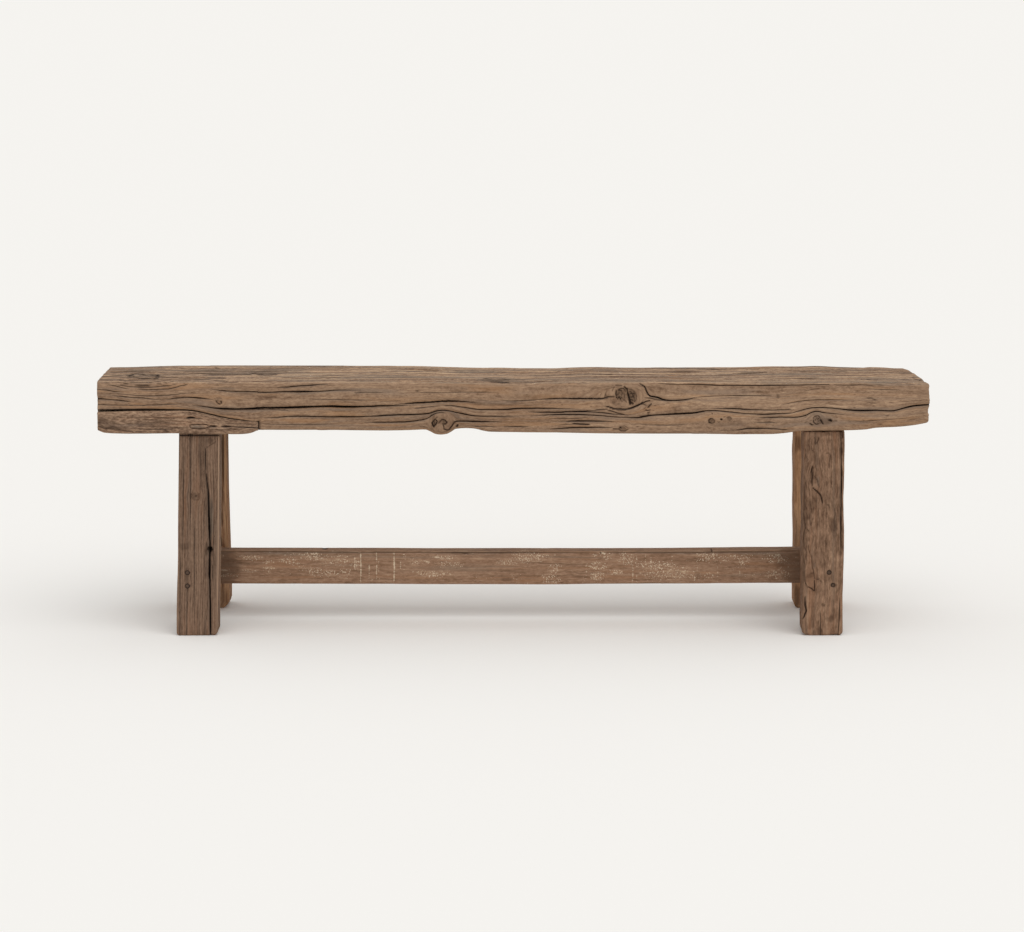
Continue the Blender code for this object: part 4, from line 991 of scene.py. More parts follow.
# Patches: kind, strength, centre and reach in pixels
DARK, PALE, GREY = range(3)
SEAT_PATCHES = (
    (DARK, 0.34, (623, 396), (10, 9)),
    (DARK, 0.55, (632.2, 395.6), (4.6, 7.6)),
    (DARK, 0.7, (618.3, 397), (3.2, 3.2)),
    (DARK, 0.48, (620, 391.8), (4.8, 4.4)),
    (DARK, 0.7, (434.5, 422.4), (1.8, 2.8)),
    (DARK, 0.3, (444.4, 421.8), (2.4, 2)),
    (DARK, 0.35, (432.6, 414.6), (2.8, 2)),
    (PALE, 0.5, (640, 397), (4, 9)),
    (PALE, 0.3, (607, 402), (6, 3)),
    (DARK, 0.42, (711.6, 420.9), (3, 2.8)),
    (DARK, 0.95, (721.4, 419.4), (1.6, 1.2)),
    (DARK, 0.35, (729.4, 418.6), (3, 2.6)),
    (DARK, 0.22, (817.2, 420.3), (5, 4.4)),
    (DARK, 0.9, (830.4, 420.2), (2.4, 1.8)),
    (DARK, 0.45, (622.8, 428.6), (4.4, 2.4)),
    (DARK, 0.4, (826, 421), (10, 4)),
    (GREY, 0.8, (145, 375.5), (8, 1.8)),
    (DARK, 0.26, (146, 376.5), (26, 4.6)),
    (DARK, 0.14, (210, 374), (120, 9)),
    (DARK, 0.22, (225, 371.4), (42, 0.9)),
    (DARK, 0.2, (262, 374.2), (20, 1.6)),
    (PALE, 0.35, (790, 374), (120, 7)),
    (DARK, 0.5, (157.5, 376.2), (4, 1.8)),
    (DARK, 0.4, (131, 375.3), (4, 1.2)),
    (GREY, 0.8, (620, 381), (38, 2)),
    (GREY, 0.5, (560, 379.5), (40, 1.6)),
    (GREY, 0.6, (700, 380.8), (44, 1.6)),
    (GREY, 0.5, (788, 381.2), (44, 1.4)),
    (GREY, 0.5, (226, 373.8), (30, 0.9)),
    (GREY, 0.5, (330, 374), (60, 0.9)),
    (GREY, 0.6, (498, 380), (22, 2.2)),
    (GREY, 0.45, (440, 377), (50, 1.2)),
    (DARK, 0.25, (268, 374.8), (14, 1.6)),
    (DARK, 0.5, (497, 379.6), (15, 2.2)),
    (GREY, 0.5, (225, 388.4), (10, 1.8)),
    (PALE, 0.4, (655, 411.5), (16, 5)),
    (PALE, 0.35, (647, 405.5), (10, 6)),
    (PALE, 0.5, (783, 392), (3.5, 2)),
    (PALE, 0.3, (300, 412), (40, 3)),
    (PALE, 0.25, (700, 400), (50, 4)),
    (PALE, 0.25, (860, 396), (40, 5)),
    (PALE, 0.3, (740, 402), (150, 24)),
    (PALE, 0.3, (870, 404), (70, 22)),
    (PALE, 0.22, (540, 392), (50, 8)),
    (PALE, 0.22, (160, 395), (60, 8)),
    (DARK, 0.25, (470, 404), (40, 3)),
    (DARK, 0.2, (520, 397), (40, 4)),
    (GREY, 0.4, (104, 382), (8, 2)),
    (GREY, 1, (884, 383.2), (24, 2)),
    (DARK, 0.3, (856, 384.8), (16, 1.4)),
    (DARK, 0.3, (906, 373.6), (9, 2.6)),
    (PALE, 0.45, (880, 390.6), (24, 2.4)),
    (PALE, 0.3, (815, 389.5), (16, 2.4)),
    (DARK, 0.3, (872, 401.2), (8, 2.2)),
    (DARK, 0.22, (920, 413), (10, 2.4)),
    (PALE, 0.3, (102, 404), (10, 4)),
    (DARK, 0.25, (725, 424), (40, 4)),
    (DARK, 0.2, (817, 424), (12, 6)),
)
BLOCK_STROKES = (
    (0.6, 1, 0.0012, ((258.3, 421.4), (258.8, 426), (258.6, 430.6))),
    (0.5, 0.5, 0.0008, ((101.5, 427), (106.5, 428.3), (112.8, 430), (119, 430.8), (131.5, 431))),
    (0.5, 0.45, 0.0006, ((134, 421.2), (148, 422.6), (162, 423.2), (178, 424.8))),
    (0.5, 0.45, 0.0006, ((136, 418.9), (152, 419.6), (168, 420.4), (184, 421.6))),
    (0.5, 0.45, 0.0006, ((136, 426), (150, 426.8), (166, 427), (180, 428.4))),
    (0.5, 0.4, 0.0006, ((98, 417.6), (110, 417.4), (124, 417.8))),
    (0.5, 0.4, 0.0006, ((206, 421.6), (222, 423.2), (240, 424), (256, 424.4))),
    (0.5, 0.4, 0.0006, ((206, 429.6), (224, 430), (242, 429.4))),
    (0.9, 1, 0.003, ((187.2, 418.5), (190.5, 417.5), (194.8, 418))),
    (0.5, 0.7, 0.001, ((194.6, 418.3), (198, 418.5), (201, 418.4))),
    (0.5, 0.6, 0.001, ((127.3, 417.6), (149.6, 417.4), (174, 419))),
    (0.6, 0.7, 0.0012, ((98.4, 426.4), (104, 427.2), (110.7, 428.7), (118, 429.4), (125.1, 430.9),
                        (132.9, 432))),
    (0.5, 0.5, 0.0008, ((135.6, 424), (142, 424.4), (148, 424), (156, 425.2))),
    (0.5, 0.5, 0.0008, ((140, 421.2), (151, 420.4), (163, 421.8), (176, 422.6))),
    (0.6, 0.95, 0.001, ((189.8, 427), (189.6, 425.4), (192, 424.5), (201, 424.3), (207, 424.6),
                        (208.6, 426.2))),
    (0.6, 0.95, 0.001, ((189.8, 426.6), (191.2, 428.2), (196, 428.8), (203, 428.6), (207.4, 428),
                        (208.6, 426.4))),
    (0.5, 0.8, 0.0012, ((207.4, 426.4), (217, 426.4))),
    (0.5, 0.8, 0.0012, ((220.7, 426.2), (232.9, 426.9), (254, 427.5))),
)
BLOCK_PATCHES = (
    (DARK, 0.5, (103, 421), (9, 5)),
    (DARK, 0.4, (118, 428.5), (20, 2.6)),
    (GREY, 0.9, (198, 426.4), (9.5, 1.9)),
    (PALE, 0.36, (150, 414), (50, 2.8)),
    (PALE, 0.35, (225, 423.2), (22, 1.6)),
    (DARK, 0.3, (152, 423.5), (30, 4)),
    (DARK, 0.34, (108, 424), (14, 7)),
)

# Widths of the worn front top arris along the seat, in metres, at places in the photograph
FRONT_ARRIS_PIXELS = ((97, 0.016), (160, 0.014), (230, 0.009), (330, 0.007), (480, 0.010), (560, 0.009),
                      (640, 0.007), (700, 0.0045), (850, 0.0045), (900, 0.008), (928, 0.010))
DRAWN_KNOT_INK = 0.12
# Knots on the sides that the photograph doesn't show, and far back on the top
SEAT_HIDDEN_KNOTS = [
    Knot(TOP, 0.33, 0.045, 0.026, 0.014, 0.0010, 0.0020, 0.8),
    Knot(TOP, -0.16, 0.06, 0.020, 0.011, 0.0008, 0.0016, 0.7),
    Knot(BACK, -0.42, 0.425, 0.024, 0.016, 0.0020, 0.0028, 1.0),
    Knot(BACK, 0.18, 0.412, 0.030, 0.019, 0.0024, 0.0032, 1.0),
    Knot(BACK, 0.56, 0.432, 0.010, 0.009, 0.0006, 0.0014, 0.9),
    Knot(UNDER, 0.25, 0.02, 0.030, 0.020, 0.0012, 0.0020, 1.0),
]
PIXELS_PER_METRE_ACROSS = 536.6
PIXELS_PER_METRE_UP = 531.0
PIXELS_PER_METRE_BACK = 68.0
SEAT_TOP_LEVEL = 0.4705

# Settings of the seat's grid
SEAT_SEED = 11
SEAT_SPACING = 0.0062
SEAT_END_ARRISES = (0.0035, 0.0045)
SEAT_CAP_RINGS = 10
SEAT_ROWS = (52, 20, 18)
SEAT_ARC_ROWS = 4
ARC_ROWS = 3
SEAT_GUIDE_LIP = 0.0010
NOTCH_GUIDE_ROWS = 3
NOTCH_EDGE = 0.00005
SEAT_MIDDLE_ROW = 400
REAR_SMOOTHING = 20
LOW_FRONT_ARRIS = 0.0050
TOP_REAR_ARRIS = 0.0075
LOW_REAR_ARRIS = 0.0080
ARRIS_VARY = 0.45
ARRIS_VARY_LENGTH = 0.11
ARRIS_VARY_STEP = 5
ARRIS_VARY_SEED = 31
FRONT_ARRIS_VARY = 0.2
RADIUS_VARY = 0.4
RADIUS_VARY_STEP = 4

# How the seat's grain wanders (reach, lengths along and across), and the waves of its surface
# (lengths along and across, height, seed, whether the wave is ridged)
SEAT_WANDER = (0.0022, 0.16, 0.035)
SEAT_WAVES = (
    (0.21, 0.060, 0.0012, 21, False),
    (0.070, 0.028, 0.0006, 22, False),
    (0.028, 0.014, 0.00035, 23, False),
    (0.22, 0.0085, 0.00034, 24, True),
    (0.11, 0.0046, 0.00024, 25, True),
)
SEAT_SCATTERS = (
    (5, TOP, (-0.112, 0.112), Scatter(54, (0.08, 0.55), (0.0003, 0.0013), (0.0010, 0.0065), 0.0022)),
    (6, BACK, (0.385, 0.462), Scatter(34, (0.10, 0.60), (0.0003, 0.0016), (0.0010, 0.0080), 0.0018)),
    (7, UNDER, (-0.11, 0.11), Scatter(26, (0.10, 0.50), (0.0003, 0.0010), (0.0008, 0.0040), 0.0022)),
)
SEAT_BRUISE_DEPTH = 0.0022
SEAT_BRUISE_LENGTHS = (0.035, 0.02)
SEAT_BRUISE_SEED = 301
SEAT_BRUISE_SPREAD = (0.25, 0.9)

# Settings of the block's grid
BLOCK_SEED = 23
BLOCK_GAP = 0.0004
BLOCK_SPACING = 0.0025
BLOCK_END_ARRISES = (0.0025, 0.0020)
BLOCK_CAP_RINGS = 7
BLOCK_LEVEL_END = 0.003
BLOCK_TOP_ROW = 410
BLOCK_ARRISES = (0.0035, 0.0016, 0.001, 0.001)
BLOCK_ROWS = (32, 7, 5, 7)
BLOCK_WANDER = (0.0015, 0.08, 0.02)
BLOCK_WAVES = (
    (0.090, 0.030, 0.0006, 21, False),
    (0.030, 0.012, 0.0004, 22, False),
    (0.060, 0.0050, 0.00035, 24, True),
)


def front_places(pixels, y):
    """Places (x, z) of photograph pixels on an upright plane that faces the front."""
    return seen_on_plane(pixels, (0, y, 0), (0, 1, 0))[:, (0, 2)]


def columns_at(columns, row, y):
    """Places along x of some of the photograph's columns, at one of its rows."""
    return front_places([(column, row) for column in columns], y)[:, 0]


def along_seat(x, table, row):
    """Widths from a table of columns and widths, at places along the seat."""
    columns, widths = zip(*table)
    return np.interp(x, columns_at(columns, row, -SEAT_DEPTH / 2), widths)


def set_in(places, length, shares):
    """Depths from a table of shares, at places along a length."""
    return np.interp(places / length, *np.array(shares).T)


def section_of(*corners):
    """The four corners of every station's section."""
    return np.stack([np.stack(np.broadcast_arrays(*corner), axis=1) for corner in corners], axis=1)


def uneven_radii(along, radius, length, seed):
    """Radii of a timber's four arrises, which vary along it."""
    flat = np.stack([along / length, 0 * along + seed, 0 * along], axis=1)
    return np.stack([radius * (1 + RADIUS_VARY * noise_at(flat + (0, 0, side * RADIUS_VARY_STEP), seed))
                     for side in range(SIDE_COUNT)], axis=1)


def crack_along(side, places, size):
    """A crack of a known width and depth through places on a side."""
    return Crack(side, tuple(map(tuple, places)), *size)


def weather(timber, wander, waves, knots=()):
    """Let the grain wander, roughen the surface and raise the knots. Gives the pattern of the ridges."""
    timber.warp(*wander, knots)
    ridges = 0
    for along, across, height, seed, ridged in waves:
        wave = timber.rough(along, across, height, seed, ridged)
        if ridged:
            ridges = ridges + wave
    timber.raise_knots(knots)
    return ridges


def bruise(timber, depth, lengths, seed, spread):
    """Chip and bruise the arrises."""
    noise = grain_noise(timber.grain, *lengths, seed)
    timber.lift -= timber.edge * depth * eased(noise, *spread)


def store_form(timber, ridges, weathered_and_lit=None):
    """Store the ridges, the arrises and the given faces, painted lighter as painted light, or else those that
    look up, weathered and painted lighter.
    """
    if weathered_and_lit is None:
        weathered_and_lit = eased(timber.normal[:, :, 2], *UPWARD_FACING)
    timber.values["form"] = np.stack([ridges, timber.edge, weathered_and_lit], axis=2)


def make_seat(material):
    """The hewn beam."""
    half = SEAT_LENGTH / 2
    front = -SEAT_DEPTH / 2
    rear = SEAT_DEPTH / 2
    seat = Timber("seat_beam_timber", ALONG_X, SEAT_SEED)
    block_end = BLOCK_LENGTH - half
    pair = (block_end - NOTCH_EDGE, block_end + NOTCH_EDGE)
    close = [(*columns_at((start, end), SEAT_MIDDLE_ROW, front), gap)
             for start, end, gap in SEAT_CLOSE_PIXELS]
    seat.lay_stations(-half, half, SEAT_SPACING, pair, SEAT_END_ARRISES, SEAT_CAP_RINGS, close)
    x = seat.along
    low = curve_through(front_places(FRONT_BOTTOM_EDGE_PIXELS, front), x)
    front_top = curve_through(front_places(FRONT_TOP_EDGE_PIXELS, front), x)
    rear_top = curve_through(front_places(REAR_TOP_EDGE_PIXELS, rear), x)
    front_y = front + set_in(x, SEAT_LENGTH, FRONT_FACE_SET_SHARES) * SEAT_DEPTH
    rear_y = rear - set_in(x, SEAT_LENGTH, REAR_FACE_SET_SHARES) * SEAT_DEPTH
    spread = 2 * REAR_SMOOTHING + 1
    rear_low = np.convolve(np.pad(low, REAR_SMOOTHING, mode="edge"), np.ones(spread) / spread, mode="valid")
    notched = x < block_end
    foot_y = np.where(notched, front_y + BLOCK_DEPTH, front_y)
    corners = section_of((foot_y, low), (front_y, front_top), (rear_y, rear_top), (rear_y, rear_low))
    arris = along_seat(x, FRONT_ARRIS_PIXELS, SEAT_MIDDLE_ROW)
    flat = np.stack([x / ARRIS_VARY_LENGTH, 0 * x, 0 * x], axis=1)
    vary = [1 + ARRIS_VARY * noise_at(flat + (0, side * ARRIS_VARY_STEP, 0), ARRIS_VARY_SEED)
            for side in range(SIDE_COUNT)]
    radii = np.stack([
        LOW_FRONT_ARRIS * vary[0], arris * (1 + FRONT_ARRIS_VARY * (vary[1] - 1)),
        TOP_REAR_ARRIS * vary[2], LOW_REAR_ARRIS * vary[3]], axis=1)
    start = low + radii[:, 0]
    end = front_top - radii[:, 1]
    guides = [curve_through(front_places(line, front), x) for line in SEAT_GUIDE_PIXELS]
    front_rows = guided_rows(start, end, guides, SEAT_GUIDE_ROWS, SEAT_GUIDE_LIP)
    seat.wrap(corners, radii, [front_rows, *map(even_rows, SEAT_ROWS)], SEAT_ARC_ROWS)
    # The notch for the block: the front's rows below the block's top stand back in it
    split = SEAT_GUIDE_ROWS[0] + SEAT_GUIDE_ROWS[1] + NOTCH_GUIDE_ROWS
    row = np.arange(len(seat.sides))
    inside = notched[:, None] & (row < split)[None, :]
    outside = notched[:, None] & ((row >= split) & (row < front_rows.shape[1]))[None, :]
    keep = 1 - seat.shrink
    middle_y = (corners[:, :, 0].mean(axis=1))[:, None]
    true_front = middle_y + (front_y[:, None] + seat.inset[:, None] - middle_y) * keep[:, None]
    notch_back = middle_y + (front_y[:, None] + BLOCK_DEPTH - middle_y) * keep[:, None]
    seat.points[:, :, 1] = np.where(inside, notch_back, np.where(outside, true_front, seat.section[:, :, 0]))
    # Ends cut askew
    for sign, shares in ((-1, LEFT_END_SHARES), (1, RIGHT_END_SHARES)):
        reach = np.where(np.sign(x) == sign, np.abs(x) / half, 0) ** END_FADE_POWER * END_SET_BACK
        set_back = set_in(seat.points[:, :, 1], SEAT_DEPTH, shares)
        seat.points[:, :, 0] -= sign * set_back * reach[:, None]
    knots = []
    for pixel, reach_x, reach_y, bulge, pit in SEAT_FRONT_KNOT_PIXELS:
        (place,) = front_places([pixel], front)
        knots.append(Knot(FRONT, *place, reach_x / PIXELS_PER_METRE_ACROSS, reach_y / PIXELS_PER_METRE_UP,
                          bulge, pit, DRAWN_KNOT_INK))
    for pixel, reach_x, reach_y, bulge, pit in SEAT_TOP_KNOT_PIXELS:
        (place,) = seen_on_plane([pixel], (0, 0, SEAT_TOP_LEVEL), (0, 0, 1))
        knots.append(Knot(TOP, place[0], place[1], reach_x / PIXELS_PER_METRE_ACROSS,
                          reach_y / PIXELS_PER_METRE_BACK, bulge, pit, DRAWN_KNOT_INK))
    knots += SEAT_HIDDEN_KNOTS
    ridges = weather(seat, SEAT_WANDER, SEAT_WAVES, knots)
    cracks = [crack_along(FRONT, front_places(BLOCK_TOP_PIXELS, front), SEAM)]
    cracks += [crack_along(FRONT, front_places(line, front), size) for size, line in SEAT_FRONT_CRACK_PIXELS]
    for seed, side, across_ends, scatter in SEAT_SCATTERS:
        cracks += random_cracks(seed, side, (-half, half), across_ends, scatter)
    seat.cut_cracks(cracks)
    seat.draw(SEAT_STROKES, SEAT_PATCHES)
    seat.lift[inside] = 0
    bruise(seat, SEAT_BRUISE_DEPTH, SEAT_BRUISE_LENGTHS, SEAT_BRUISE_SEED, SEAT_BRUISE_SPREAD)
    store_form(seat, ridges)
    return seat.build("seat_beam", material)


def make_block(material):
    """The block let into the lower left of the seat's front."""
    half = SEAT_LENGTH / 2
    front = -SEAT_DEPTH / 2
    block = Timber("repair_block_timber", ALONG_X, BLOCK_SEED)
    right = BLOCK_LENGTH - half - BLOCK_GAP
    block.lay_stations(-half, right, BLOCK_SPACING, (), BLOCK_END_ARRISES, BLOCK_CAP_RINGS)
    x = block.along
    low = curve_through(front_places(FRONT_BOTTOM_EDGE_PIXELS, front), np.minimum(x, right - BLOCK_LEVEL_END))
    top = curve_through(front_places(BLOCK_TOP_PIXELS, front), x)
    top -= along_seat(x, BLOCK_SEAM_PIXELS, BLOCK_TOP_ROW)
    front_y = front + set_in(x, SEAT_LENGTH, FRONT_FACE_SET_SHARES) * SEAT_DEPTH
    back_y = front_y + BLOCK_DEPTH - BLOCK_GAP
    corners = section_of((front_y, low), (front_y, top), (back_y, top), (back_y, low))
    radii = np.broadcast_to(BLOCK_ARRISES, (len(x), SIDE_COUNT))
    block.wrap(corners, radii, [*map(even_rows, BLOCK_ROWS)], ARC_ROWS)
    end_pull = (np.abs(x) / half) ** END_FADE_POWER * END_SET_BACK * (x < 0)
    block.points[:, :, 0] += set_in(block.points[:, :, 1], SEAT_DEPTH, LEFT_END_SHARES) * end_pull[:, None]
    ridges = weather(block, BLOCK_WANDER, BLOCK_WAVES)
    block.cut_cracks([crack_along(FRONT, front_places(line, front), size)
                      for size, line in BLOCK_CRACK_PIXELS])
    block.draw(BLOCK_STROKES, BLOCK_PATCHES)
    store_form(block, ridges)
    return block.build("repair_block", material)


# Cracks, strokes and patches of the legs, as the seat's are
LEFT_LEG_CRACK_PIXELS = (
    (PLAIN, ((205.4, 447), (205.6, 460), (205.9, 472))),
    (BROAD, ((206.2, 474), (207.1, 482), (208.1, 490), (208.7, 504), (208.9, 516), (209.3, 530),
             (210, 549.3), (209.6, 560), (209.6, 576), (210, 590), (210.3, 606), (210.4, 636.5))),
    (FINE, ((211.6, 560), (212.4, 568), (212.6, 582))),
    (HAIRLINE, ((183, 440), (183.4, 500), (182.6, 560))),
    (HAIRLINE, ((190, 436), (190.6, 470), (190.2, 520), (189.6, 540))),
    (HAIRLINE, ((194, 500), (194.6, 560), (194.2, 630))),
    (HAIRLINE, ((200, 436), (200.4, 470), (200, 500))),
    (HAIRLINE, ((186.8, 560), (187, 600), (186.4, 634))),
    (HAIRLINE, ((213.5, 450), (214, 500), (213.8, 560), (214.2, 620))),
    (HAIRLINE, ((180, 540), (180.2, 580), (179.8, 634))),
)
RIGHT_LEG_CRACK_PIXELS = (
    (FINE, ((820.3, 610), (820.6, 622), (820.5, 637))),
    (PLAIN, ((841, 434), (841.4, 470), (841, 520), (840.8, 560))),
    (FINE, ((840, 596), (839.3, 617), (838, 636))),
)
LEFT_LEG_STROKES = (
    (0.6, 0.6, 0.0008, ((206.4, 447.8), (211, 444.9), (216, 441.6))),
    (0.5, 0.5, 0.0006, ((208, 537), (206.2, 545), (204.6, 556), (204, 568))),
    (0.5, 0.45, 0.0006, ((212.2, 553), (214.2, 562), (215.2, 574))),
    (0.5, 0.5, 0.0006, ((207.6, 600), (206.2, 612), (205.4, 628))),
    (0.5, 0.4, 0.0006, ((188.8, 491), (190, 496), (193.2, 499.6), (198, 500.4), (201, 497))),
    (0.5, 0.4, 0.0006, ((190.6, 489), (193.6, 494), (198, 494.6), (200.8, 492.6))),
    (0.5, 0.35, 0.0005, ((209.6, 479), (212.4, 486), (215.4, 493))),
    (0.4, 0.4, 0.0004, ((217.6, 438), (217.8, 480), (217.4, 540), (216.8, 600))),
    # Painted highlight down the lit arris of the inner side
    (1.4, -0.45, 0, ((219, 430), (219.2, 470), (219, 510), (218.6, 560), (217.8, 640))),
    # Painted shadow in the gap under the seat, over a shallow groove
    (0.9, 1, 0.003, ((178.4, 435.4), (190, 435.5), (205, 435.3), (219.4, 435.2))),
    (1, 1, 0, ((206.2, 474), (207.1, 482), (208.1, 490), (208.7, 504), (208.9, 516), (209.3, 530),
               (210, 546))),
    (2.2, 1, 0, ((209.8, 549.3), (210.4, 549.3))),
    (0.7, 1, 0, ((209.8, 552), (209.6, 576), (210, 590), (210.3, 606), (210.4, 634))),
    (1.3, 0.35, 0, ((211, 500), (211.4, 515), (211.6, 530), (211.8, 544))),
)
LEFT_LEG_PATCHES = (
    # Painted light on the lit inner side strip
    (PALE, 3, (220.4, 530), (2.6, 130)),
    (GREY, 1, (211.4, 520), (2.8, 26)),
    (DARK, 0.35, (211.4, 520), (2.6, 26)),
    (DARK, 1, (210, 549.3), (2.6, 2.6)),
    (DARK, 0.55, (207, 549), (2.4, 9)),
    (DARK, 0.5, (211.6, 549), (2.4, 8)),
    (DARK, 0.45, (210, 441), (5, 4.6)),
    (DARK, 0.35, (194.6, 496), (7, 4.5)),
    (PALE, 0.5, (196.2, 498.2), (1.5, 2.4)),
    (DARK, 0.3, (186, 546), (9, 5)),
    (DARK, 0.25, (198, 614), (3, 6)),
    (PALE, 0.3, (213, 566), (1.6, 9)),
    (DARK, 0.25, (200, 455), (7, 18)),
    (PALE, 0.25, (207, 624), (1.6, 6)),
    (DARK, 0.3, (205, 632), (4, 4)),
)
REAR_LEFT_LEG_STROKES = (
    (0.7, 0.8, 0.001, ((223.6, 434), (223.2, 470), (222.4, 510), (221.4, 546))),
    # Painted shade down the shaded inner side
    (1, 0.75, 0, ((226.8, 430), (227.5, 480), (228.5, 520), (229.2, 550))),
    # Painted highlight on the arris
    (0.5, -0.4, 0, ((224.8, 430), (225.1, 480), (225.6, 520), (226, 550))),
    (0.5, 0.5, 0.0005, ((226.6, 585), (226.8, 600), (226.4, 608))),
)
REAR_LEFT_LEG_PATCHES = (
    # Painted shade down the left of the front face
    (DARK, 0.5, (222.4, 470), (1.6, 60)),
    (DARK, 0.4, (222.6, 596), (4, 12)),
)
REAR_RIGHT_LEG_PATCHES = (
    # Painted shadow of the seat at the top, painted light in the middle, and darker towards the foot
    (DARK, 0.45, (797, 444), (6, 10)),
    (PALE, 0.5, (797, 520), (5, 26)),
    (DARK, 0.5, (797, 596), (6, 14)),
)
RIGHT_LEG_STROKES = (
    (0.8, 1, 0.003, ((842.8, 431.5), (843.2, 435), (842.6, 438.6))),
    (0.5, 0.8, 0.0012, ((801.4, 437), (802.2, 440))),
    (0.7, 0.6, 0.0012, ((814.3, 437.2), (815.6, 440.5), (815.2, 444.3), (817.3, 442.6), (818.9, 438.8),
                        (818.1, 436.8))),
    (0.6, 0.7, 0.0012, ((804.8, 448.4), (806, 453), (803.9, 459.7))),
    (0.5, 0.6, 0.001, ((806, 455.5), (808.1, 460.1), (806.8, 461.3))),
    (0.6, 0.7, 0.001, ((811.8, 450.9), (814.8, 451.8))),
    (0.6, 0.6, 0.001, ((814.3, 452.2), (815.2, 457.2), (814.8, 463.8), (816.4, 470))),
    (0.6, 0.45, 0.001, ((825.6, 453), (829.3, 453.8), (831, 456.3), (829.3, 461.3), (828.9, 468))),
    (1, 0.8, 0.002, ((812.3, 466.3), (811.6, 471.3), (812.7, 475.5), (811.9, 481.3), (812.3, 486.3))),
    (0.7, 0.6, 0.0014, ((814.3, 476.3), (817.3, 479.7), (818.5, 485.5), (819.3, 487.2))),
    (0.8, 1, 0.0026, ((812.7, 487.6), (816.8, 491.3), (820.2, 494.7), (821.8, 498.8), (822.7, 503.4))),
    (1.1, 0.7, 0.0022, ((820.8, 496), (821.8, 499.8), (822.7, 503.4))),
    (0.7, 0.6, 0.0012, ((824.8, 504.3), (828.1, 504.7), (830.2, 508.4))),
    (0.7, 0.6, 0.0014, ((803.4, 474.7), (804.8, 483), (803.5, 491.3), (803.3, 499.7), (803.9, 510))),
    (0.7, 0.7, 0.0014, ((803.3, 513), (803.7, 522.2), (806, 528), (808.9, 531.3))),
    (0.6, 0.6, 0.0012, ((810.2, 511.3), (809.8, 519.7), (811, 525.5), (812.7, 518.8))),
    (0.5, 0.5, 0.0008, ((826, 481.3), (826.8, 486.3))),
    (0.5, 0.5, 0.0008, ((831.4, 486.3), (832.7, 490))),
    (0.7, 0.5, 0.0012, ((834.3, 508), (835.2, 514.7), (833.5, 522.2), (835.2, 528))),
    (0.5, 0.4, 0.0006, ((825.2, 521.3), (832.7, 521.3))),
    (0.6, 0.6, 0.0012, ((803.3, 539), (803.9, 546.5), (806, 550.7), (806.4, 559.8), (807.7, 561.5))),
    (0.6, 0.65, 0.0014, ((808.5, 544.8), (808.5, 549.8), (811, 554.8), (811.8, 559.8), (812.3, 567.3),
                         (813.5, 570.7), (814.3, 578.2), (819.3, 579.8), (821.8, 582.3))),
    (0.7, 0.9, 0.0018, ((814.3, 580.7), (814.8, 591.5))),
    (0.6, 0.9, 0.0016, ((808.1, 586.7), (811.6, 588.6), (814.8, 591.5))),
    (0.6, 0.6, 0.0012, ((803.9, 570.7), (804.3, 580.7), (808.1, 588.2))),
    (0.9, 1, 0.0026, ((804.8, 596.5), (805.2, 604.8), (806.4, 610.7), (803.7, 617.3), (801.8, 619))),
    (0.5, 0.4, 0.0006, ((836.6, 440), (837.6, 460), (836.8, 480), (838.2, 500), (837.2, 520))),
    (0.5, 0.4, 0.0006, ((824, 560), (825.2, 590), (824.2, 600))),
    (0.5, 0.4, 0.0006, ((836.6, 540), (836, 570), (837, 600))),
    (0.5, 0.35, 0.0006, ((818.5, 510), (820, 530), (818.2, 550), (819.4, 566))),
    (0.5, 0.35, 0.0006, ((829.4, 540), (828, 556), (829.6, 566))),
)
RIGHT_LEG_PATCHES = (
    (DARK, 0.45, (812.5, 473), (2, 8)),
    (DARK, 0.4, (829, 465), (2, 5)),
    (GREY, 0.6, (818, 482), (2, 6)),
    (PALE, 0.45, (837.5, 462), (1.8, 10)),
    (PALE, 0.35, (838, 490), (1.6, 14)),
    (PALE, 0.7, (828, 437.5), (7, 2.2)),
    (DARK, 0.4, (834, 524), (4, 10)),
    (DARK, 0.45, (812.6, 566), (1.8, 4)),
    (GREY, 0.5, (814.6, 566), (1.4, 4)),
    (DARK, 0.5, (824, 604.8), (3, 2)),
    (DARK, 0.45, (831, 619), (5, 5)),
    (DARK, 0.3, (812, 505), (5, 9)),
    (DARK, 0.25, (822, 540), (4, 7)),
    (PALE, 0.45, (816.8, 611.5), (2.4, 4)),
    (PALE, 0.9, (811.8, 631), (6, 4)),
    (PALE, 0.45, (834, 500), (3, 6)),
    (PALE, 0.5, (807, 612), (4.5, 18)),
    (DARK, 0.28, (829, 500), (9, 14)),
    (DARK, 0.24, (820, 560), (8, 12)),
    (PALE, 0.3, (806, 446), (2.4, 10)),
    (DARK, 0.3, (806, 520), (3, 12)),
    (DARK, 0.35, (818, 631), (5, 4)),
)
# Knots of the front legs: place and reaches in pixels, then bulge and pit in metres
LEFT_LEG_KNOT_PIXELS = (((195.6, 496.5), 5.5, 5, 0.0004, 0.0004),)
RIGHT_LEG_KNOT_PIXELS = (
    ((815, 480), 6, 13, 0.0008, 0.0006),
    ((810, 575), 5, 12, 0.0006, 0.0006),
    ((806, 455), 4, 8, 0.0006, 0.0004),
)

# Settings of the legs' grids
LEG_TENON = 0.060
LEG_SLICES = 101
LEG_FIRST_SLICE = 0.0012
LEG_LAST_SLICE = 0.005
LEG_CAP_RINGS = 7
FRONT_LEG_SPACING = 0.0024
REAR_LEG_SPACING = 0.0040
FRONT_LEG_ROWS = (26, 50)
REAR_LEG_ROWS = (24, 24)
LEG_ARRIS = 0.0038
LEG_ARRIS_LENGTH = 0.08
PEG_HOLE_SPACING = 0.0009
PEG_HOLE_ROWS = 7
PEG_HOLE_RADIUS = 0.0047
PEG_HOLE_DEPTH = 0.0030
KNOT_HOLE_PIXEL = (210.0, 549.3)
KNOT_HOLE_RADIUS = 0.0052
KNOT_HOLE_DEPTH = 0.010

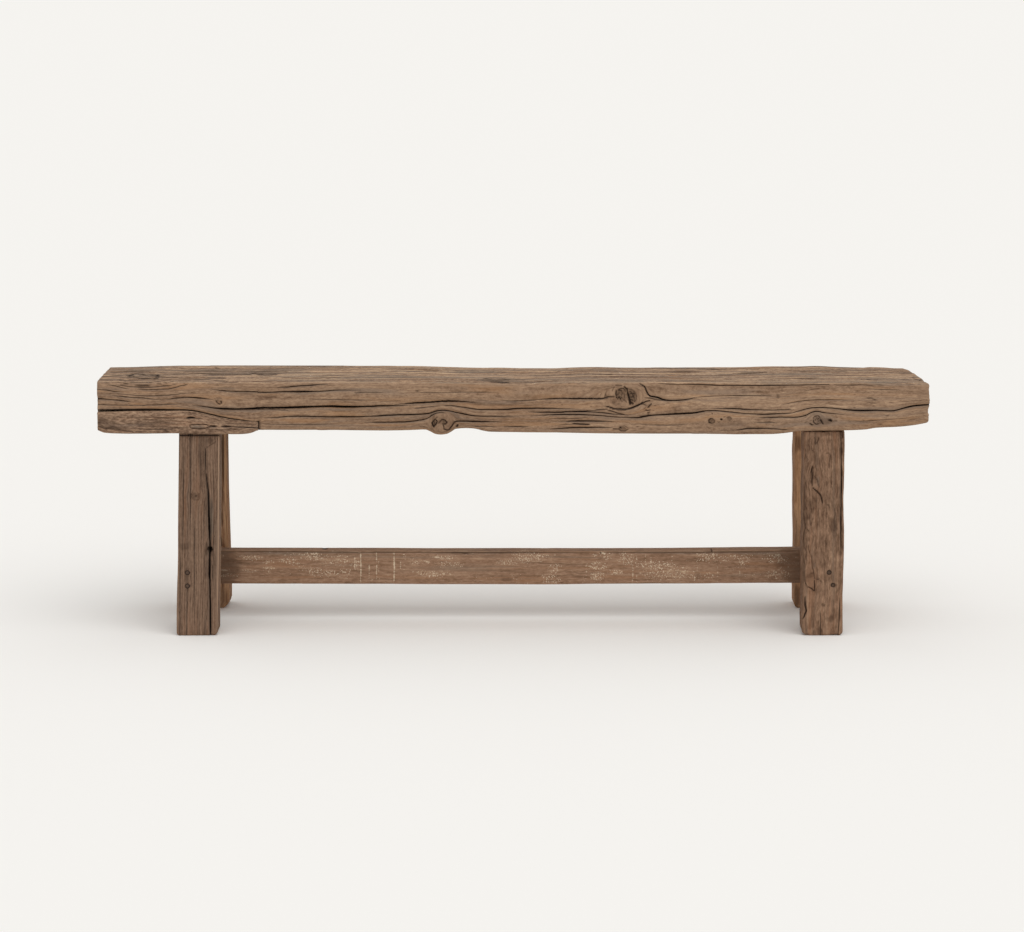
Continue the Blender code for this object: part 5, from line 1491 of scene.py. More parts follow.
# Waves of a leg's surface: lengths along and across, seed, whether the wave is ridged. Two of the heights
# come from the leg's look
LEG_WANDER_LENGTHS = (0.10, 0.03)
LEG_WAVES = (
    (0.16, 0.045, 21, False),
    (0.045, 0.018, 22, False),
    (0.12, 0.0062, 24, True),
    (0.06, 0.0042, 25, True),
)
LEG_HOLLOW = 0.0008
FINE_RIDGE_SHARE = 0.6
LEG_SCATTER = Scatter(8, (0.08, 0.36), (0.0003, 0.0011), (0.0008, 0.0048), 0.0012)
LEG_SCATTER_MARGIN = 0.012
SMALL_BRUISE_LENGTHS = (0.03, 0.015)
SMALL_BRUISE_SPREAD = (0.2, 0.9)
SMALL_BRUISE_SEED = 40
LEG_BRUISE_DEPTH = 0.0016


def leg_sections(node):
    """Levels of a leg's solid below its tenon, each with its left, right, front and rear."""
    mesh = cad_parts[node].data
    points = np.array([vertex.co for vertex in mesh.vertices])
    edges = np.array([edge.vertices for edge in mesh.edges])
    top = points[:, 2].max() - LEG_TENON
    sections = []
    for level in np.linspace(LEG_FIRST_SLICE, top - LEG_LAST_SLICE, LEG_SLICES):
        first, second = points[edges[:, 0]], points[edges[:, 1]]
        crossing = (first[:, 2] - level) * (second[:, 2] - level) < 0
        first, second = first[crossing], second[crossing]
        share = (level - first[:, 2]) / (second[:, 2] - first[:, 2])
        cut = first + (second - first) * share[:, None]
        sections.append((level, cut[:, 0].min(), cut[:, 0].max(), cut[:, 1].min(), cut[:, 1].max()))
    return np.array(sections), top


FRONT_LEG_SECTIONS = leg_sections("front_left_leg")[0]


def make_leg(side_name, material, look, seed):
    """One splayed leg with its rounded shoulder."""
    node = side_name + "_leg"
    sections, top = leg_sections(node)
    leg = Timber(node + "_timber", ALONG_Z, seed)
    is_front = side_name.startswith("front")
    # Sides of a leg are front, right, rear and left, and its pegs show in the outer one of front and rear
    outer = 0 if is_front else 2
    pegs = []
    for place in ("upper", "lower"):
        low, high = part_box(f"{side_name}_{place}_peg")
        pegs.append(((low.z + high.z) / 2, (low.x + high.x) / 2))
    close = [(level - PEG_HOLE_RADIUS, level + PEG_HOLE_RADIUS, PEG_HOLE_SPACING) for level, _ in pegs]
    spacing = FRONT_LEG_SPACING if is_front else REAR_LEG_SPACING
    leg.lay_stations(0.0, top, spacing, (), look.foot_arrises, LEG_CAP_RINGS, close)
    z = leg.along
    levels, *edges = sections.T
    left, right = (np.interp(z, levels, edge) for edge in edges[:2])
    near, far = (np.polyval(np.polyfit(levels, edge, 1), z) for edge in edges[2:])
    corners = section_of((left, near), (right, near), (right, far), (left, far))
    plain_count, fine_count = FRONT_LEG_ROWS if is_front else REAR_LEG_ROWS
    rows = [even_rows(plain_count)] * SIDE_COUNT
    peg_left, peg_right = (np.interp(pegs[0][0], z, edge) for edge in (left, right))
    round_hole = np.linspace(-PEG_HOLE_RADIUS, PEG_HOLE_RADIUS, PEG_HOLE_ROWS)
    peg_rows = [(x + round_hole - peg_left) / (peg_right - peg_left) for _, x in pegs]
    fine = np.sort(np.concatenate([even_rows(fine_count), *peg_rows]))
    rows[outer] = fine if outer == 0 else 1 - fine[::-1]
    leg.wrap(corners, uneven_radii(z, LEG_ARRIS, LEG_ARRIS_LENGTH, seed), rows, ARC_ROWS)
    heights = (LEG_HOLLOW, look.lumps, look.ridge, look.ridge * FINE_RIDGE_SHARE)
    waves = [(along, across, height, wave_seed, ridged)
             for (along, across, wave_seed, ridged), height in zip(LEG_WAVES, heights)]
    ridges = weather(leg, (look.wander, *LEG_WANDER_LENGTHS), waves, look.knots)
    leg.cut_cracks(look.cracks(leg))
    leg.draw(look.strokes, look.patches)
    leg.sink_holes(outer, pegs, PEG_HOLE_RADIUS, PEG_HOLE_DEPTH)
    if side_name == "front_left":
        leg.sink_holes(0, leg_face_places([KNOT_HOLE_PIXEL]), KNOT_HOLE_RADIUS, KNOT_HOLE_DEPTH)
    bruise(leg, LEG_BRUISE_DEPTH, SMALL_BRUISE_LENGTHS, seed + SMALL_BRUISE_SEED, SMALL_BRUISE_SPREAD)
    # One side of the leg is stored to be painted lighter, as painted light
    store_form(leg, ridges, np.broadcast_to(leg.sides == look.bleached, leg.edge.shape))
    return leg.build(node, material)


def leg_face_places(pixels):
    """Places (z, x) of photograph pixels on a front leg's splayed face."""
    lean, foot = np.polyfit(FRONT_LEG_SECTIONS[:, 0], FRONT_LEG_SECTIONS[:, 3], 1)
    return seen_on_plane(pixels, (0, foot, 0), (0, 1, -lean))[:, (2, 0)]


def scattered_leg_cracks(leg, seed, sides):
    """Drying checks on the faces that the photograph doesn't show."""
    cracks = []
    for side in sides:
        across = leg.across(side)[:, leg.sides == side]
        across_ends = (across.min() + LEG_SCATTER_MARGIN, across.max() - LEG_SCATTER_MARGIN)
        cracks += random_cracks(seed + side, side, (leg.low, leg.high), across_ends, LEG_SCATTER)
    return cracks


def front_leg_cracks(pixels, seed):
    """Cracks of a front leg: those that show in the photograph, and scattered ones on the other faces."""
    def cracks(leg):
        shown = [crack_along(0, leg_face_places(line)[::-1], size) for size, line in pixels]
        return shown + scattered_leg_cracks(leg, seed, (1, 2, 3))
    return cracks


def rear_leg_cracks(seed):
    """Cracks of a rear leg."""
    return lambda leg: scattered_leg_cracks(leg, seed, range(SIDE_COUNT))


def leg_knots(listed):
    """Knots of a front leg."""
    knots = []
    for pixel, reach_x, reach_y, bulge, pit in listed:
        (place,) = leg_face_places([pixel])
        knots.append(Knot(0, *place, reach_y / PIXELS_PER_METRE_UP, reach_x / PIXELS_PER_METRE_ACROSS,
                          bulge, pit, DRAWN_KNOT_INK))
    return knots


# A leg's worn ends, drawn marks, knots and cracks, how far its grain wanders, the heights of its surface's
# lumps and ridges, and the number of its side that is painted lighter as painted light
LegLook = namedtuple("LegLook", "foot_arrises strokes patches knots cracks wander lumps ridge bleached")
# The front left leg's inner side and the rear legs' front sides are painted lighter, as painted light
LEG_LOOKS = {
    "front_left": LegLook((0.0050, 0.0025), LEFT_LEG_STROKES, LEFT_LEG_PATCHES,
                          leg_knots(LEFT_LEG_KNOT_PIXELS), front_leg_cracks(LEFT_LEG_CRACK_PIXELS, 41),
                          0.0006, 0.0002, 0.00024, 1),
    "front_right": LegLook((0.0075, 0.0025), RIGHT_LEG_STROKES, RIGHT_LEG_PATCHES,
                           leg_knots(RIGHT_LEG_KNOT_PIXELS), front_leg_cracks(RIGHT_LEG_CRACK_PIXELS, 51),
                           0.0030, 0.0008, 0.00040, None),
    "rear_left": LegLook((0.0040, 0.0025), REAR_LEFT_LEG_STROKES, REAR_LEFT_LEG_PATCHES, [],
                         rear_leg_cracks(61), 0.0012, 0.0003, 0.00035, 0),
    "rear_right": LegLook((0.0040, 0.0025), (), REAR_RIGHT_LEG_PATCHES, [],
                          rear_leg_cracks(71), 0.0012, 0.0003, 0.00035, 0),
}

# Stretcher: saw marks as (place, top, foot, strength), then strokes, whose light ones are chalk, and patches
SAW_LEAN = 0.3
SAW_MARK_PIXELS = (
    (360.6, 552.5, 582, 0.9), (354.6, 557, 568, 0.5), (376.5, 553, 581, 0.7), (369, 563, 579, 0.35),
    (394, 552.5, 582, 0.9), (400.4, 562, 568.5, 0.6), (403.6, 553, 557, 0.4), (632.6, 560, 583, 0.6),
    (623.5, 552, 563, 0.6), (636.6, 556, 582, 0.35), (586, 563, 582, 0.35), (694.5, 576.5, 582.5, 0.6),
    (697.2, 560, 571, 0.4), (717.5, 565, 582, 0.4), (739.6, 571, 582, 0.3), (651, 556, 578, 0.3),
    (645.4, 554, 566, 0.4), (378.6, 561, 573, 0.4), (404, 564, 570, 0.4), (540, 554, 566, 0.25),
    (672, 556, 570, 0.25),
)
STRETCHER_STROKES = (
    *[(0.62, -0.80 * ink, 0.0002, ((x, top), (x + SAW_LEAN, (top + low) / 2), (x, low)))
      for x, top, low, ink in SAW_MARK_PIXELS],
    (1, -0.9, 0.0004, ((600.6, 552), (603.4, 553.4), (605.4, 554.8))),
    (0.6, -0.7, 0.0002, ((593.6, 554), (597, 555.4))),
    (0.6, -0.7, 0.0002, ((221.5, 570.4), (227.5, 570))),
    (0.5, -0.5, 0.0002, ((778.4, 553.4), (778.8, 555.6))),
    (0.6, -0.6, 0.0002, ((424, 561.4), (429, 561.6))),
    (0.7, -0.6, 0.0002, ((434, 557.2), (441, 557.8), (450, 558.2))),
    (0.7, -0.6, 0.0002, ((432, 574.4), (438, 572.6))),
    (0.6, 0.5, 0.0005, ((519, 562), (535, 562.6), (552, 563.8), (572, 564.2), (588, 564.6))),
    (0.6, 0.45, 0.0005, ((564, 571), (580, 573.5), (596, 572.6), (606, 572.4))),
    (0.6, 0.4, 0.0005, ((556, 576), (570, 575), (590, 578))),
    (0.8, 0.8, 0.0012, ((452, 552.6), (458, 552.4), (468, 553.6))),
    (1, 0.9, 0.002, ((600, 551.6), (601.4, 553.4))),
    (0.7, 1, 0.003, ((711.9, 547.6), (711.3, 549.6), (711.4, 551.8))),
    (0.7, 0.72, 0.0005, ((600, 552.4), (660, 552.4), (700, 552.4), (740, 551.9), (796, 551.4))),
    (0.7, 0.72, 0.0005, ((360, 552.2), (410, 552.2), (470, 552.4), (540, 552.4), (598, 552.4))),
    (0.7, 0.72, 0.0005, ((221, 551.2), (260, 551.6), (300, 551.8), (358, 552.2))),
    (0.5, 0.4, 0.0004, ((770, 582), (775, 572), (780, 562), (783, 554))),
    (0.5, 0.3, 0.0004, ((480, 566), (505, 567), (530, 566))),
    (0.7, 0.8, 0.001, ((322, 548.4), (328, 548.6))),
)
CHALK_PIXELS = (
    ((224, 556.2), (4, 1.2)), ((250, 557.6), (10, 2)), ((290, 561.4), (8, 2.8)), ((268, 562.4), (5, 2.4)),
    ((316, 555.8), (14, 3.6)), ((341, 559), (7, 4.4)), ((356, 565), (3.6, 4)), ((330, 562), (7, 1.6)),
    ((345.5, 573), (5.5, 4)), ((324, 572.6), (12, 4)), ((251, 570.8), (6, 1.4)), ((224, 570.2), (4, 1)),
    ((229, 575.4), (8, 1.4)), ((268, 569), (5, 2.6)), ((415.6, 563), (3.4, 2.2)), ((426, 561.8), (4, 1.6)),
    ((443.6, 557.6), (9, 1.9)), ((449.6, 564), (11, 2.2)), ((432, 573.4), (10, 2.2)), ((422, 572.6), (6, 1.8)),
    ((507, 562), (8, 2.4)), ((530, 557.6), (14, 4.4)), ((551, 578.4), (8, 4.4)), ((554, 568.6), (5, 4.4)),
    ((599.6, 566), (7, 3)), ((597.6, 576), (4.4, 3)), ((602.6, 553), (3.4, 1.8)), ((595.4, 554.6), (2.4, 1.2)),
    ((608.6, 557.6), (5, 3.4)), ((616, 572), (6, 2)), ((652.6, 565), (12, 3)), ((647, 574), (6, 3.2)),
    ((627, 558.6), (7, 5)), ((707, 556), (9, 3.4)), ((733, 557), (14, 2.2)), ((743.6, 560), (5, 4.4)),
    ((665, 565), (7, 2.2)), ((688, 576), (7, 2.2)), ((709.6, 575), (3, 2.4)), ((772, 559.6), (10, 2.6)),
    ((778.5, 554.5), (1.4, 1.8)), ((795.6, 557.6), (3, 1.4)), ((781, 574), (9, 4.4)), ((670, 574), (20, 5)),
)
CHALK_SPREAD = 1.7
STRETCHER_PATCHES = (
    *[(PALE, 0.85, place, (across * CHALK_SPREAD, down * CHALK_SPREAD))
      for place, (across, down) in CHALK_PIXELS],
    # Painted shade at both ends, where the legs shade the stretcher
    (DARK, 0.55, (222, 567), (21, 34)),
    (DARK, 0.48, (801, 567), (30, 34)),
    (DARK, 0.4, (508, 579.6), (8, 2.8)),
    (DARK, 0.3, (460, 553.2), (12, 2)),
    (GREY, 0.6, (320, 552.6), (110, 1.8)),
    (GREY, 0.6, (480, 552.8), (80, 2)),
    (GREY, 0.6, (700, 552.6), (110, 2)),
    (DARK, 0.25, (582, 577), (14, 2.4)),
    (DARK, 0.25, (740, 566), (14, 2.4)),
    (DARK, 0.3, (697, 574.6), (4, 4)),
    (DARK, 0.35, (283, 581), (8, 2)),
    (DARK, 0.25, (500, 556), (24, 3)),
)
STRETCHER_LIFT_SHARES = ((-0.5, 0.010), (-0.28, -0.006), (0.1, -0.010), (0.3, 0.004), (0.5, 0.040))
STRETCHER_HEIGHT = 0.0645
STRETCHER_TENON = 0.023
LEVEL_SHARES = ((-0.5, 0), (0.5, 0))

# A sawn bar's spacing of stations, rows and scattered cracks on each side, closer stretches, drawn marks and
# how it bows up and down, as places along it and shares of its height
BarLook = namedtuple("BarLook", "spacing rows cracks close strokes patches lift_shares")
BAR_END_ARRISES = (0.0015, 0.0015)
BAR_CAP_RINGS = 5
BAR_ARRIS = 0.0026
BAR_ARRIS_LENGTH = 0.09
BAR_WANDER = (0.0010, 0.14, 0.03)
BAR_WAVES = (
    (0.20, 0.050, 0.0007, 21, False),
    (0.050, 0.022, 0.0003, 22, False),
    (0.13, 0.0058, 0.00026, 24, True),
)
BAR_SCATTER = Scatter(0, (0.05, 0.30), (0.0003, 0.0008), (0.0006, 0.0022), 0.0008)
BAR_SCATTER_MARGIN = 0.007
BAR_BRUISE_DEPTH = 0.0012


def make_bar(node, material, axes, sizes, seed, look):
    """A sawn bar: the stretcher or a cross rail. Sizes are its low and high ends and its four edges."""
    bar = Timber(node + "_timber", axes, seed)
    low, high, left, right, under, over = sizes
    bar.lay_stations(low, high, look.spacing, (), BAR_END_ARRISES, BAR_CAP_RINGS, look.close)
    along = bar.along
    lift = set_in((along - low) / (high - low) - 0.5, 1, look.lift_shares) * STRETCHER_HEIGHT
    foot, head = under + lift, over + lift
    corners = section_of((left, foot), (left, head), (right, head), (right, foot))
    radii = uneven_radii(along, BAR_ARRIS, BAR_ARRIS_LENGTH, seed)
    bar.wrap(corners, radii, [*map(even_rows, look.rows)], ARC_ROWS)
    ridges = weather(bar, BAR_WANDER, BAR_WAVES)
    cracks = []
    for side, count in enumerate(look.cracks):
        across = bar.across(side)[:, bar.sides == side]
        across_ends = (across.min() + BAR_SCATTER_MARGIN, across.max() - BAR_SCATTER_MARGIN)
        scatter = BAR_SCATTER._replace(count=count)
        cracks += random_cracks(seed + side, side, (low, high), across_ends, scatter)
    bar.cut_cracks(cracks)
    bar.draw(look.strokes, look.patches)
    bruise(bar, BAR_BRUISE_DEPTH, SMALL_BRUISE_LENGTHS, seed + SMALL_BRUISE_SEED, SMALL_BRUISE_SPREAD)
    store_form(bar, ridges)
    return bar.build(node, material)


# The picture's brightness curve
BRIGHTEST = 255
DARK_END = 0.04045
DARK_SLOPE = 12.92
CURVE_SHIFT = 0.055
CURVE_POWER = 2.4
# How far a pattern is moved along each axis, in shares of its shift
SHIFT_SHARES = (1, 0.7, 1.3)


def linear(colour):
    """A colour as the picture shows it, from 0 to 255, in the shader's own linear values."""
    made = []
    for part in colour:
        share = part / BRIGHTEST
        bright = ((share + CURVE_SHIFT) / (1 + CURVE_SHIFT)) ** CURVE_POWER
        made.append(share / DARK_SLOPE if share <= DARK_END else bright)
    return (*made, 1.0)


class Graph:
    """Shorthand for building a material's nodes."""

    def __init__(self, name):
        self.material = bpy.data.materials.new(name)
        self.material.use_nodes = True
        self.tree = self.material.node_tree
        self.shader = self.tree.nodes["Principled BSDF"]

    def node(self, kind, **settings):
        made = self.tree.nodes.new("ShaderNode" + kind)
        for key, value in settings.items():
            setattr(made, key, value)
        return made

    def feed(self, socket, value):
        if isinstance(value, bpy.types.NodeSocket):
            self.tree.links.new(value, socket)
        else:
            socket.default_value = value

    def math(self, operation, first, second=0.0, third=0.0, clamp=False):
        made = self.node("Math", operation=operation, use_clamp=clamp)
        for socket, value in zip(made.inputs, (first, second, third)):
            self.feed(socket, value)
        return made.outputs[0]

    def times(self, first, second):
        return self.math("MULTIPLY", first, second)

    def plus(self, base, value, weight):
        """The base, with a value times a weight added."""
        return self.math("MULTIPLY_ADD", value, weight, base)

    def centred(self, value):
        """A pattern from 0 to 1 as one round zero."""
        return self.math("SUBTRACT", value, 0.5)

    def vector(self, operation, first, second=(0, 0, 0)):
        made = self.node("VectorMath", operation=operation)
        self.feed(made.inputs[0], first)
        self.feed(made.inputs[1], second)
        return made.outputs["Value" if operation in ("LENGTH", "DOT_PRODUCT") else "Vector"]

    def attribute(self, name):
        return self.node("Attribute", attribute_name=name).outputs["Vector"]

    def parts(self, vector):
        made = self.node("SeparateXYZ")
        self.feed(made.inputs[0], vector)
        return made.outputs

    def joined(self, *parts):
        made = self.node("CombineXYZ")
        for socket, value in zip(made.inputs, parts):
            self.feed(socket, value)
        return made.outputs[0]

    def noise(self, vector, detail=2.0, roughness=0.5, distortion=0.0):
        made = self.node("TexNoise")
        self.feed(made.inputs["Vector"], vector)
        made.inputs["Scale"].default_value = 1.0
        made.inputs["Detail"].default_value = detail
        made.inputs["Roughness"].default_value = roughness
        made.inputs["Distortion"].default_value = distortion
        return made.outputs["Fac"]

    def stretched(self, grain, along, across, detail=2.0, roughness=0.5, shift=0.0, distortion=0.0):
        scaled = self.vector("MULTIPLY", grain, (1 / along, 1 / across, 1 / across))
        moved = self.vector("ADD", scaled, tuple(shift * share for share in SHIFT_SHARES))
        return self.noise(moved, detail, roughness, distortion)

    def between(self, value, low, high, to_low=0.0, to_high=1.0):
        made = self.node("MapRange", interpolation_type="SMOOTHSTEP")
        self.feed(made.inputs["Value"], value)
        self.feed(made.inputs["From Min"], low)
        self.feed(made.inputs["From Max"], high)
        made.inputs["To Min"].default_value = to_low
        made.inputs["To Max"].default_value = to_high
        return made.outputs["Result"]

    def mix(self, amount, first, second, blend="MIX"):
        made = self.node("Mix", data_type="RGBA", blend_type=blend)
        self.feed(made.inputs["Factor"], amount)
        colours = [socket for socket in made.inputs if socket.type == "RGBA"]
        self.feed(colours[0], first)
        self.feed(colours[1], second)
        return [socket for socket in made.outputs if socket.type == "RGBA"][0]

    def ramp(self, value, stops):
        made = self.node("ValToRGB")
        self.feed(made.inputs[0], value)
        elements = made.color_ramp.elements
        while len(elements) < len(stops):
            elements.new(0.5)
        for element, (place, colour) in zip(elements, stops):
            element.position = place
            element.color = linear(colour)
        return made.outputs[0]

    def total(self, *weighted):
        """Sum of values times weights."""
        result = 0.0
        for value, weight in weighted:
            result = self.plus(result, value, weight)
        return result

    def finished(self, colour, roughness, shine, height, strength, distance):
        """The material with its colour, its roughness and the bump of its surface."""
        inputs = self.shader.inputs
        self.feed(inputs["Base Color"], colour)
        self.feed(inputs["Roughness"], roughness)
        inputs["Specular IOR Level"].default_value = shine
        bump = self.node("Bump")
        bump.inputs["Strength"].default_value = strength
        bump.inputs["Distance"].default_value = distance
        self.feed(bump.inputs["Height"], height)
        self.feed(inputs["Normal"], bump.outputs["Normal"])
        return self.material


# A timber's colours, dark to light, and how strongly each pattern shows
Look = namedtuple("Look", "tones warm grey top_grey crack knot_tone ring_step pith contrast lines growth "
                          "mottle grit bump chalk")

# Patterns drawn out along the grain: lengths along and across it, detail, roughness, shift and distortion
PATTERNS = {
    "broad": (0.34, 0.060, 2, 0.5, 3.1),
    "band": (0.26, 0.014, 3, 0.55, 7.7, 0.3),
    "streak": (0.070, 0.0036, 4, 0.65, 1.3),
    "fine": (0.026, 0.0032, 4, 0.72, 5.9),
    "grit": (0.0090, 0.0030, 3, 0.70, 8.8),
    "wobble": (0.25, 0.05, 2, 0.5, 9.3),
    "patter": (0.0085, 0.0140, 3, 0.70, 18.3),
    "mottle": (0.020, 0.0095, 3, 0.6, 54.0),
    "warm": (0.16, 0.010, 3, 0.55, 12.7),
    "grey": (0.24, 0.012, 3, 0.55, 21.9),
    "slate": (0.26, 0.030, 4, 0.62, 31.3),
    "thread": (0.12, 0.0110, 4, 0.62, 34.9),
    "pores": (0.010, 0.0016, 2, 0.5, 41.0),
    "glint": (0.009, 0.0022, 2, 0.5, 47.0),
    "glint_place": (0.06, 0.012, 2, 0.5, 48.0),
    "fleck": (0.0026, 0.0020, 1, 0.5, 43.0),
    "cloud": (0.07, 0.022, 2, 0.5, 44.0),
    "swirl": (0.012, 0.008, 3, 0.6, 51.0),
    "comb": (0.075, 0.0030, 3, 0.6, 27.0),
}
# Smooth steps: the values between which each one rises or falls, and what it gives at them if not 0 and 1
STEPS = {
    "pale": (0.35, 0.6),
    "growth": (0.35, 0.95, 0.0),
    "line_place": (0.42, 0.62),
    "warm": (0.50, 0.70, 0.0, 0.50),
    "grey": (0.52, 0.70, 0.0, 0.55),
    "slate": (0.53, 0.58),
    "thread": (0.56, 0.62, 0.0, 0.9),
    "greyed": (0.3, 0.6, 0.4, 1.0),
    "slate_tone": (0.35, 0.65),
    "pores": (0.64, 0.74, 0.0, 0.6),
    "glint": (0.58, 0.68, 0.0, 0.10),
    "glint_place": (0.48, 0.62),
    "cloud": (0.46, 0.66),
    "fleck": (0.0, 0.018, 0.0, 1.0),
    "fleck_amount": (0.0, 0.6, 0.25, 1.0),
    "knot": (1.15, 0.75),
    "knot_ring": (0.3, 0.95),
    "knot_heart": (0.5, 0.2, 0.0, 0.7),
    "knot_halo": (1.9, 1.0),
    "knot_rim": (0.15, 0.02),
    "knot_rim_streak": (0.4, 0.6),
    "worn": (0.35, 0.65, 0.05, 0.40),
    "chalk": (0.15, 0.85, 0.0, 0.80),
    "chalk_place": (0.02, 0.15),
    "painted_highlight": (0.0, 0.45, 0.0, 0.85),
    "comb": (0.43, 0.53, -0.65, 0.12),
    "ink": (0.05, 0.55, 0.0, 0.55),
    "deep_ink": (0.45, 0.95, 0.0, 0.9),
    "lip": (1.5, 0.3),
    "margin": (4.5, 0.8),
    "crack": (1.15, 0.55),
}
# Thin grain lines: lengths along and across, half width, strength and shift. The pattern of where they show
# is shorter along the grain and wider across it
GRAIN_LINES = ((0.22, 0.0085, 0.028, 1.0, 61.0), (0.11, 0.0045, 0.034, 0.6, 71.0))
LINE_DETAIL = 1.5
LINE_PLACE_ALONG = 0.8
LINE_PLACE_ACROSS = 4
LINE_PLACE_SHIFT = 4
# How strongly each pattern shows in the tone, and in the height of the bump
BROAD_TONE = 0.45
BAND_TONE = 0.60
RING_TONE = 0.50
STREAK_TONE = 0.62
FINE_TONE = 1.10
RELIEF_TONE = 0.05
TOP_PATTER = 1.1
TOP_BAND = 2.2
TOP_CONTRAST = 1.40
# Lightening of upward faces, from weathering and painted light from above, and of a leg's painted-lit side
WEATHERED_AND_LIT_TONE = 0.155
PALEST = 0.34
PALEST_CHALKED = 0.12
LEAST_PALE = 0.30
BUMP_WEIGHTS = (0.6, 0.6, 0.35, 0.2, 0.25, -0.35, -0.9)
BUMP_DISTANCE = 0.0014
ROUGH_STREAK = 0.22
ROUGH_LEVEL = 0.68
TIMBER_SHINE = 0.05
# Growth rings round the pith
RING_WOBBLE = 0.012
RING_LENGTH = 0.7
RING_DETAIL = 2.0
RING_ROUGHNESS = 0.6
GROWTH_WOBBLE = 3.0
FULL_TURN = 2 * pi
TONE_PLACES = (0.0, 0.28, 0.5, 0.72, 1.0)
# How much of a colour is laid over the one below
SLATE_COVER = 0.8
KNOT_COVER = 0.9
HALO_COVER = 0.30
RIM_COVER = 0.7
# Darker margin round cracks: painted shade and dirt
MARGIN_SHADE_AND_DIRT_COVER = 0.30
# Painted highlight on a crack's lower lip
LIP_HIGHLIGHT_COVER = 0.45
# Chalk gathers in clouds and where patches are drawn. The more there is, the lower the limit for a fleck
CLOUD_CHALK = 0.45
FLECK_FALL = -0.200
FLECK_LIMIT = 0.78
CHALK_GRIT = 3.4
# Knots and cracks, in shares of their reach or width
KNOT_SWIRL = 0.9
KNOT_RING_TURNS = 13.0
INK_GRAIN = 0.35
CRACK_GRAIN = 0.9
# Place of the painted highlight below a crack
LIP_HIGHLIGHT_PLACE = 2.4
# Colours from 0 to 255
SLATE_DARK = (90, 79, 70)
SLATE_LIGHT = (136, 122, 107)
CHALK = (212, 192, 166)
CRACK_DARK = (34, 25, 19)


